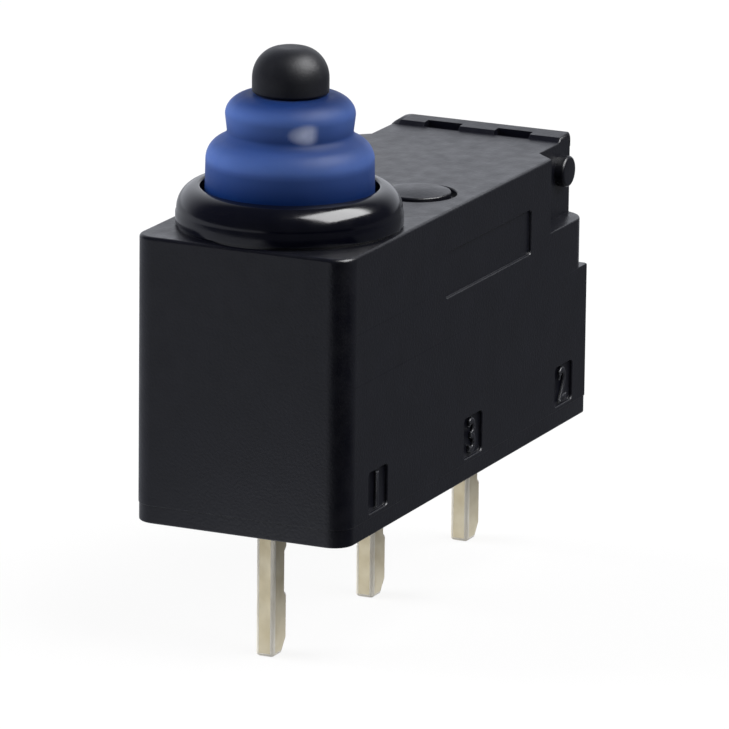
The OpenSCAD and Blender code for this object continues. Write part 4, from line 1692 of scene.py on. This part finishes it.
@dataclass
class Studio:
    """Pale floor, white surround, soft lights and the camera at the photo's angle."""

    azimuth: float = -65.132
    elevation: float = 14.774
    roll: float = 0.661
    distance: float = 180.52 * MM
    target: Vector = field(default_factory=lambda: Vector((0.0, 0.004 * MM, 2.395 * MM)))
    frame_px: int = 729
    focal_px: float = 7874.8
    sensor: float = 36.0
    clip: Flat = (1 * MM, 10.0)
    floor_half: float = 0.6
    paper_seen: float = 0.85
    paper_bounce: float = 0.25
    camera_glow: float = 0.85
    mirror_tint: Colour = (0.955, 0.985, 1.06, 1.0)
    # Bright card beside the terminals: where it starts and ends along Y and X, and its level
    card_rise: Flat = (-5.5 * MM, 1 * MM)
    card_fall: Flat = (3.5 * MM, 8 * MM)
    card_end: Flat = (-22 * MM, -16 * MM)
    card_level: float = 0.95
    # The rest of the floor in a mirror: brighter along Y, and a little along X
    side_rise: Flat = (-14 * MM, 14 * MM)
    side_level: float = 0.5
    back_rise: Flat = (-3 * MM, 6 * MM)
    back_level: float = 0.12
    backdrop_way: Vector = field(default_factory=lambda: Vector((0.85, 0.53, 0.0)))
    backdrop_fade: Flat = (0.38, 1.0)
    backdrop_levels: Flat = (0.06, 0.95)
    surround: float = 0.5
    surround_dim: float = 0.15
    surround_fade: Flat = (-0.25, 0.35)
    soft_boxes: tuple[SoftBox, ...] = (
        SoftBox("right_window", (0.171, -0.646, 0.743), 0.14, (0.2, 0.13), 0.3, mirrored=False),
        SoftBox("window_shine", (0.05, -0.6, 0.8), 0.12, (0.115, 0.085), 0.36, lights=False),
        SoftBox("left_fill", (-0.25, 0.85, 0.46), 0.15, (0.12, 0.12), 0.31, mirrored=False),
    )

    def camera(self) -> None:
        """Places the camera where the photo was taken from."""
        azimuth, elevation, roll = (a * DEGREE for a in (self.azimuth, self.elevation, self.roll))
        level_back = Vector((math.sin(azimuth), -math.cos(azimuth), 0.0))
        back = level_back * math.cos(elevation) + Vector((0.0, 0.0, math.sin(elevation)))
        right = Vector((math.cos(azimuth), math.sin(azimuth), 0.0))
        up = back.cross(right)
        across = math.cos(roll) * right + math.sin(roll) * up
        upward = math.cos(roll) * up - math.sin(roll) * right
        lens = bpy.data.cameras.new("photo_camera")
        lens.sensor_width = self.sensor
        lens.lens = self.sensor * self.focal_px / self.frame_px
        lens.clip_start, lens.clip_end = self.clip
        holder = bpy.data.objects.new("photo_camera", lens)
        turn = Matrix((across, upward, back)).transposed().to_4x4()
        holder.matrix_world = Matrix.Translation(self.target + back * self.distance) @ turn
        bpy.context.scene.collection.objects.link(holder)
        bpy.context.scene.camera = holder

    def seen_in_mirror(self, wires: Wiring) -> Socket:
        """One for rays that a surface mirrors or lets through, and zero for the rest."""
        path = wires.add("ShaderNodeLightPath").outputs
        return wires.larger(path["Is Glossy Ray"], path["Is Transmission Ray"])

    def cooled(self, wires: Wiring) -> Socket:
        """White, and a cooler white for rays that a surface mirrors."""
        return wires.mix(self.seen_in_mirror(wires), WHITE, self.mirror_tint)

    def mirrored_floor(self, wires: Wiring) -> Socket:
        """Level of the floor as the switch mirrors it: bright beside it, dark towards the camera.

        Args:
            wires: Tree to wire in.

        Returns:
            The level.
        """
        place = wires.add("ShaderNodeNewGeometry").outputs["Position"]
        rise = wires.fade(place, ACROSS, self.card_rise, (0.0, self.card_level))
        fall = wires.fade(place, ACROSS, self.card_fall, (1.0, 0.0))
        end = wires.fade(place, ALONG, self.card_end, (0.0, 1.0))
        side = wires.fade(place, ACROSS, self.side_rise, (0.0, self.side_level))
        back = wires.fade(place, ALONG, self.back_rise, (0.0, self.back_level))
        return wires.larger(wires.times(wires.times(rise, fall), end), wires.larger(side, back))

    def floor(self, height: float) -> None:
        """Lays the pale floor, white to the camera but for the shadow.

        Args:
            height: Height of the floor.
        """
        half = self.floor_half
        mesh = bpy.data.meshes.new("studio_floor")
        corners = [(-half, -half), (half, -half), (half, half), (-half, half)]
        mesh.from_pydata([(x, y, height) for x, y in corners], [], [(0, 1, 2, 3)])
        material = bpy.data.materials.new("pale_floor")
        material.use_nodes = True
        wires = Wiring(material.node_tree)
        wires.tree.nodes.clear()
        camera = wires.add("ShaderNodeLightPath").outputs["Is Camera Ray"]
        mirrored = self.seen_in_mirror(wires)
        tint = wires.span(camera, (0.0, 1.0), (self.paper_bounce, self.paper_seen))
        paper = wires.feed(wires.add("ShaderNodeBsdfDiffuse"), tint)
        seen = wires.larger(camera, wires.times(mirrored, self.mirrored_floor(wires)))
        glow = wires.feed(wires.add("ShaderNodeEmission"), self.cooled(wires), seen)
        share = wires.larger(wires.times(camera, self.camera_glow), mirrored)
        shaders = paper.outputs["BSDF"], glow.outputs["Emission"]
        mixed = wires.feed(wires.add("ShaderNodeMixShader"), share, *shaders)
        wires.feed(wires.add("ShaderNodeOutputMaterial"), mixed.outputs["Shader"])
        mesh.materials.append(material)
        show("studio_floor", mesh)

    def white_surround(self) -> None:
        """Lights the scene from all round: white to the camera, a bright backdrop in every mirror."""
        world = bpy.data.worlds.new("white_surround")
        world.use_nodes = True
        bpy.context.scene.world = world
        wires = Wiring(world.node_tree)
        way = wires.add("ShaderNodeTexCoord").outputs["Generated"]
        side_levels = (self.surround * self.surround_dim, self.surround)
        around = wires.fade(way, ACROSS, self.surround_fade, side_levels)
        backdrop = wires.fade(way, self.backdrop_way, self.backdrop_fade, self.backdrop_levels)
        mirrored = self.seen_in_mirror(wires)
        plain = wires.times(wires.math("SUBTRACT", 1.0, mirrored), around)
        shown = wires.math("ADD", plain, wires.times(mirrored, backdrop))
        camera = wires.add("ShaderNodeLightPath").outputs["Is Camera Ray"]
        wires.feed(wires.tree.nodes["Background"], self.cooled(wires), wires.larger(camera, shown))

    def build(self) -> None:
        """Sets up the studio."""
        self.floor(CAD_BOX[0].z)
        self.white_surround()
        for box in self.soft_boxes:
            box.hang(self.target)
        self.camera()
        bpy.context.scene.view_settings.view_transform = "Standard"


def main() -> None:
    """Builds the switch and its studio in order."""
    logging.basicConfig(level=logging.INFO, format="%(name)s: %(message)s")
    turning = TurningTree()
    for assembly in (Housing(), Seal(turning), PushPin(turning), Terminals(), SnapAction(), Studio()):
        assembly.build()


if __name__ == "__main__":
    main()
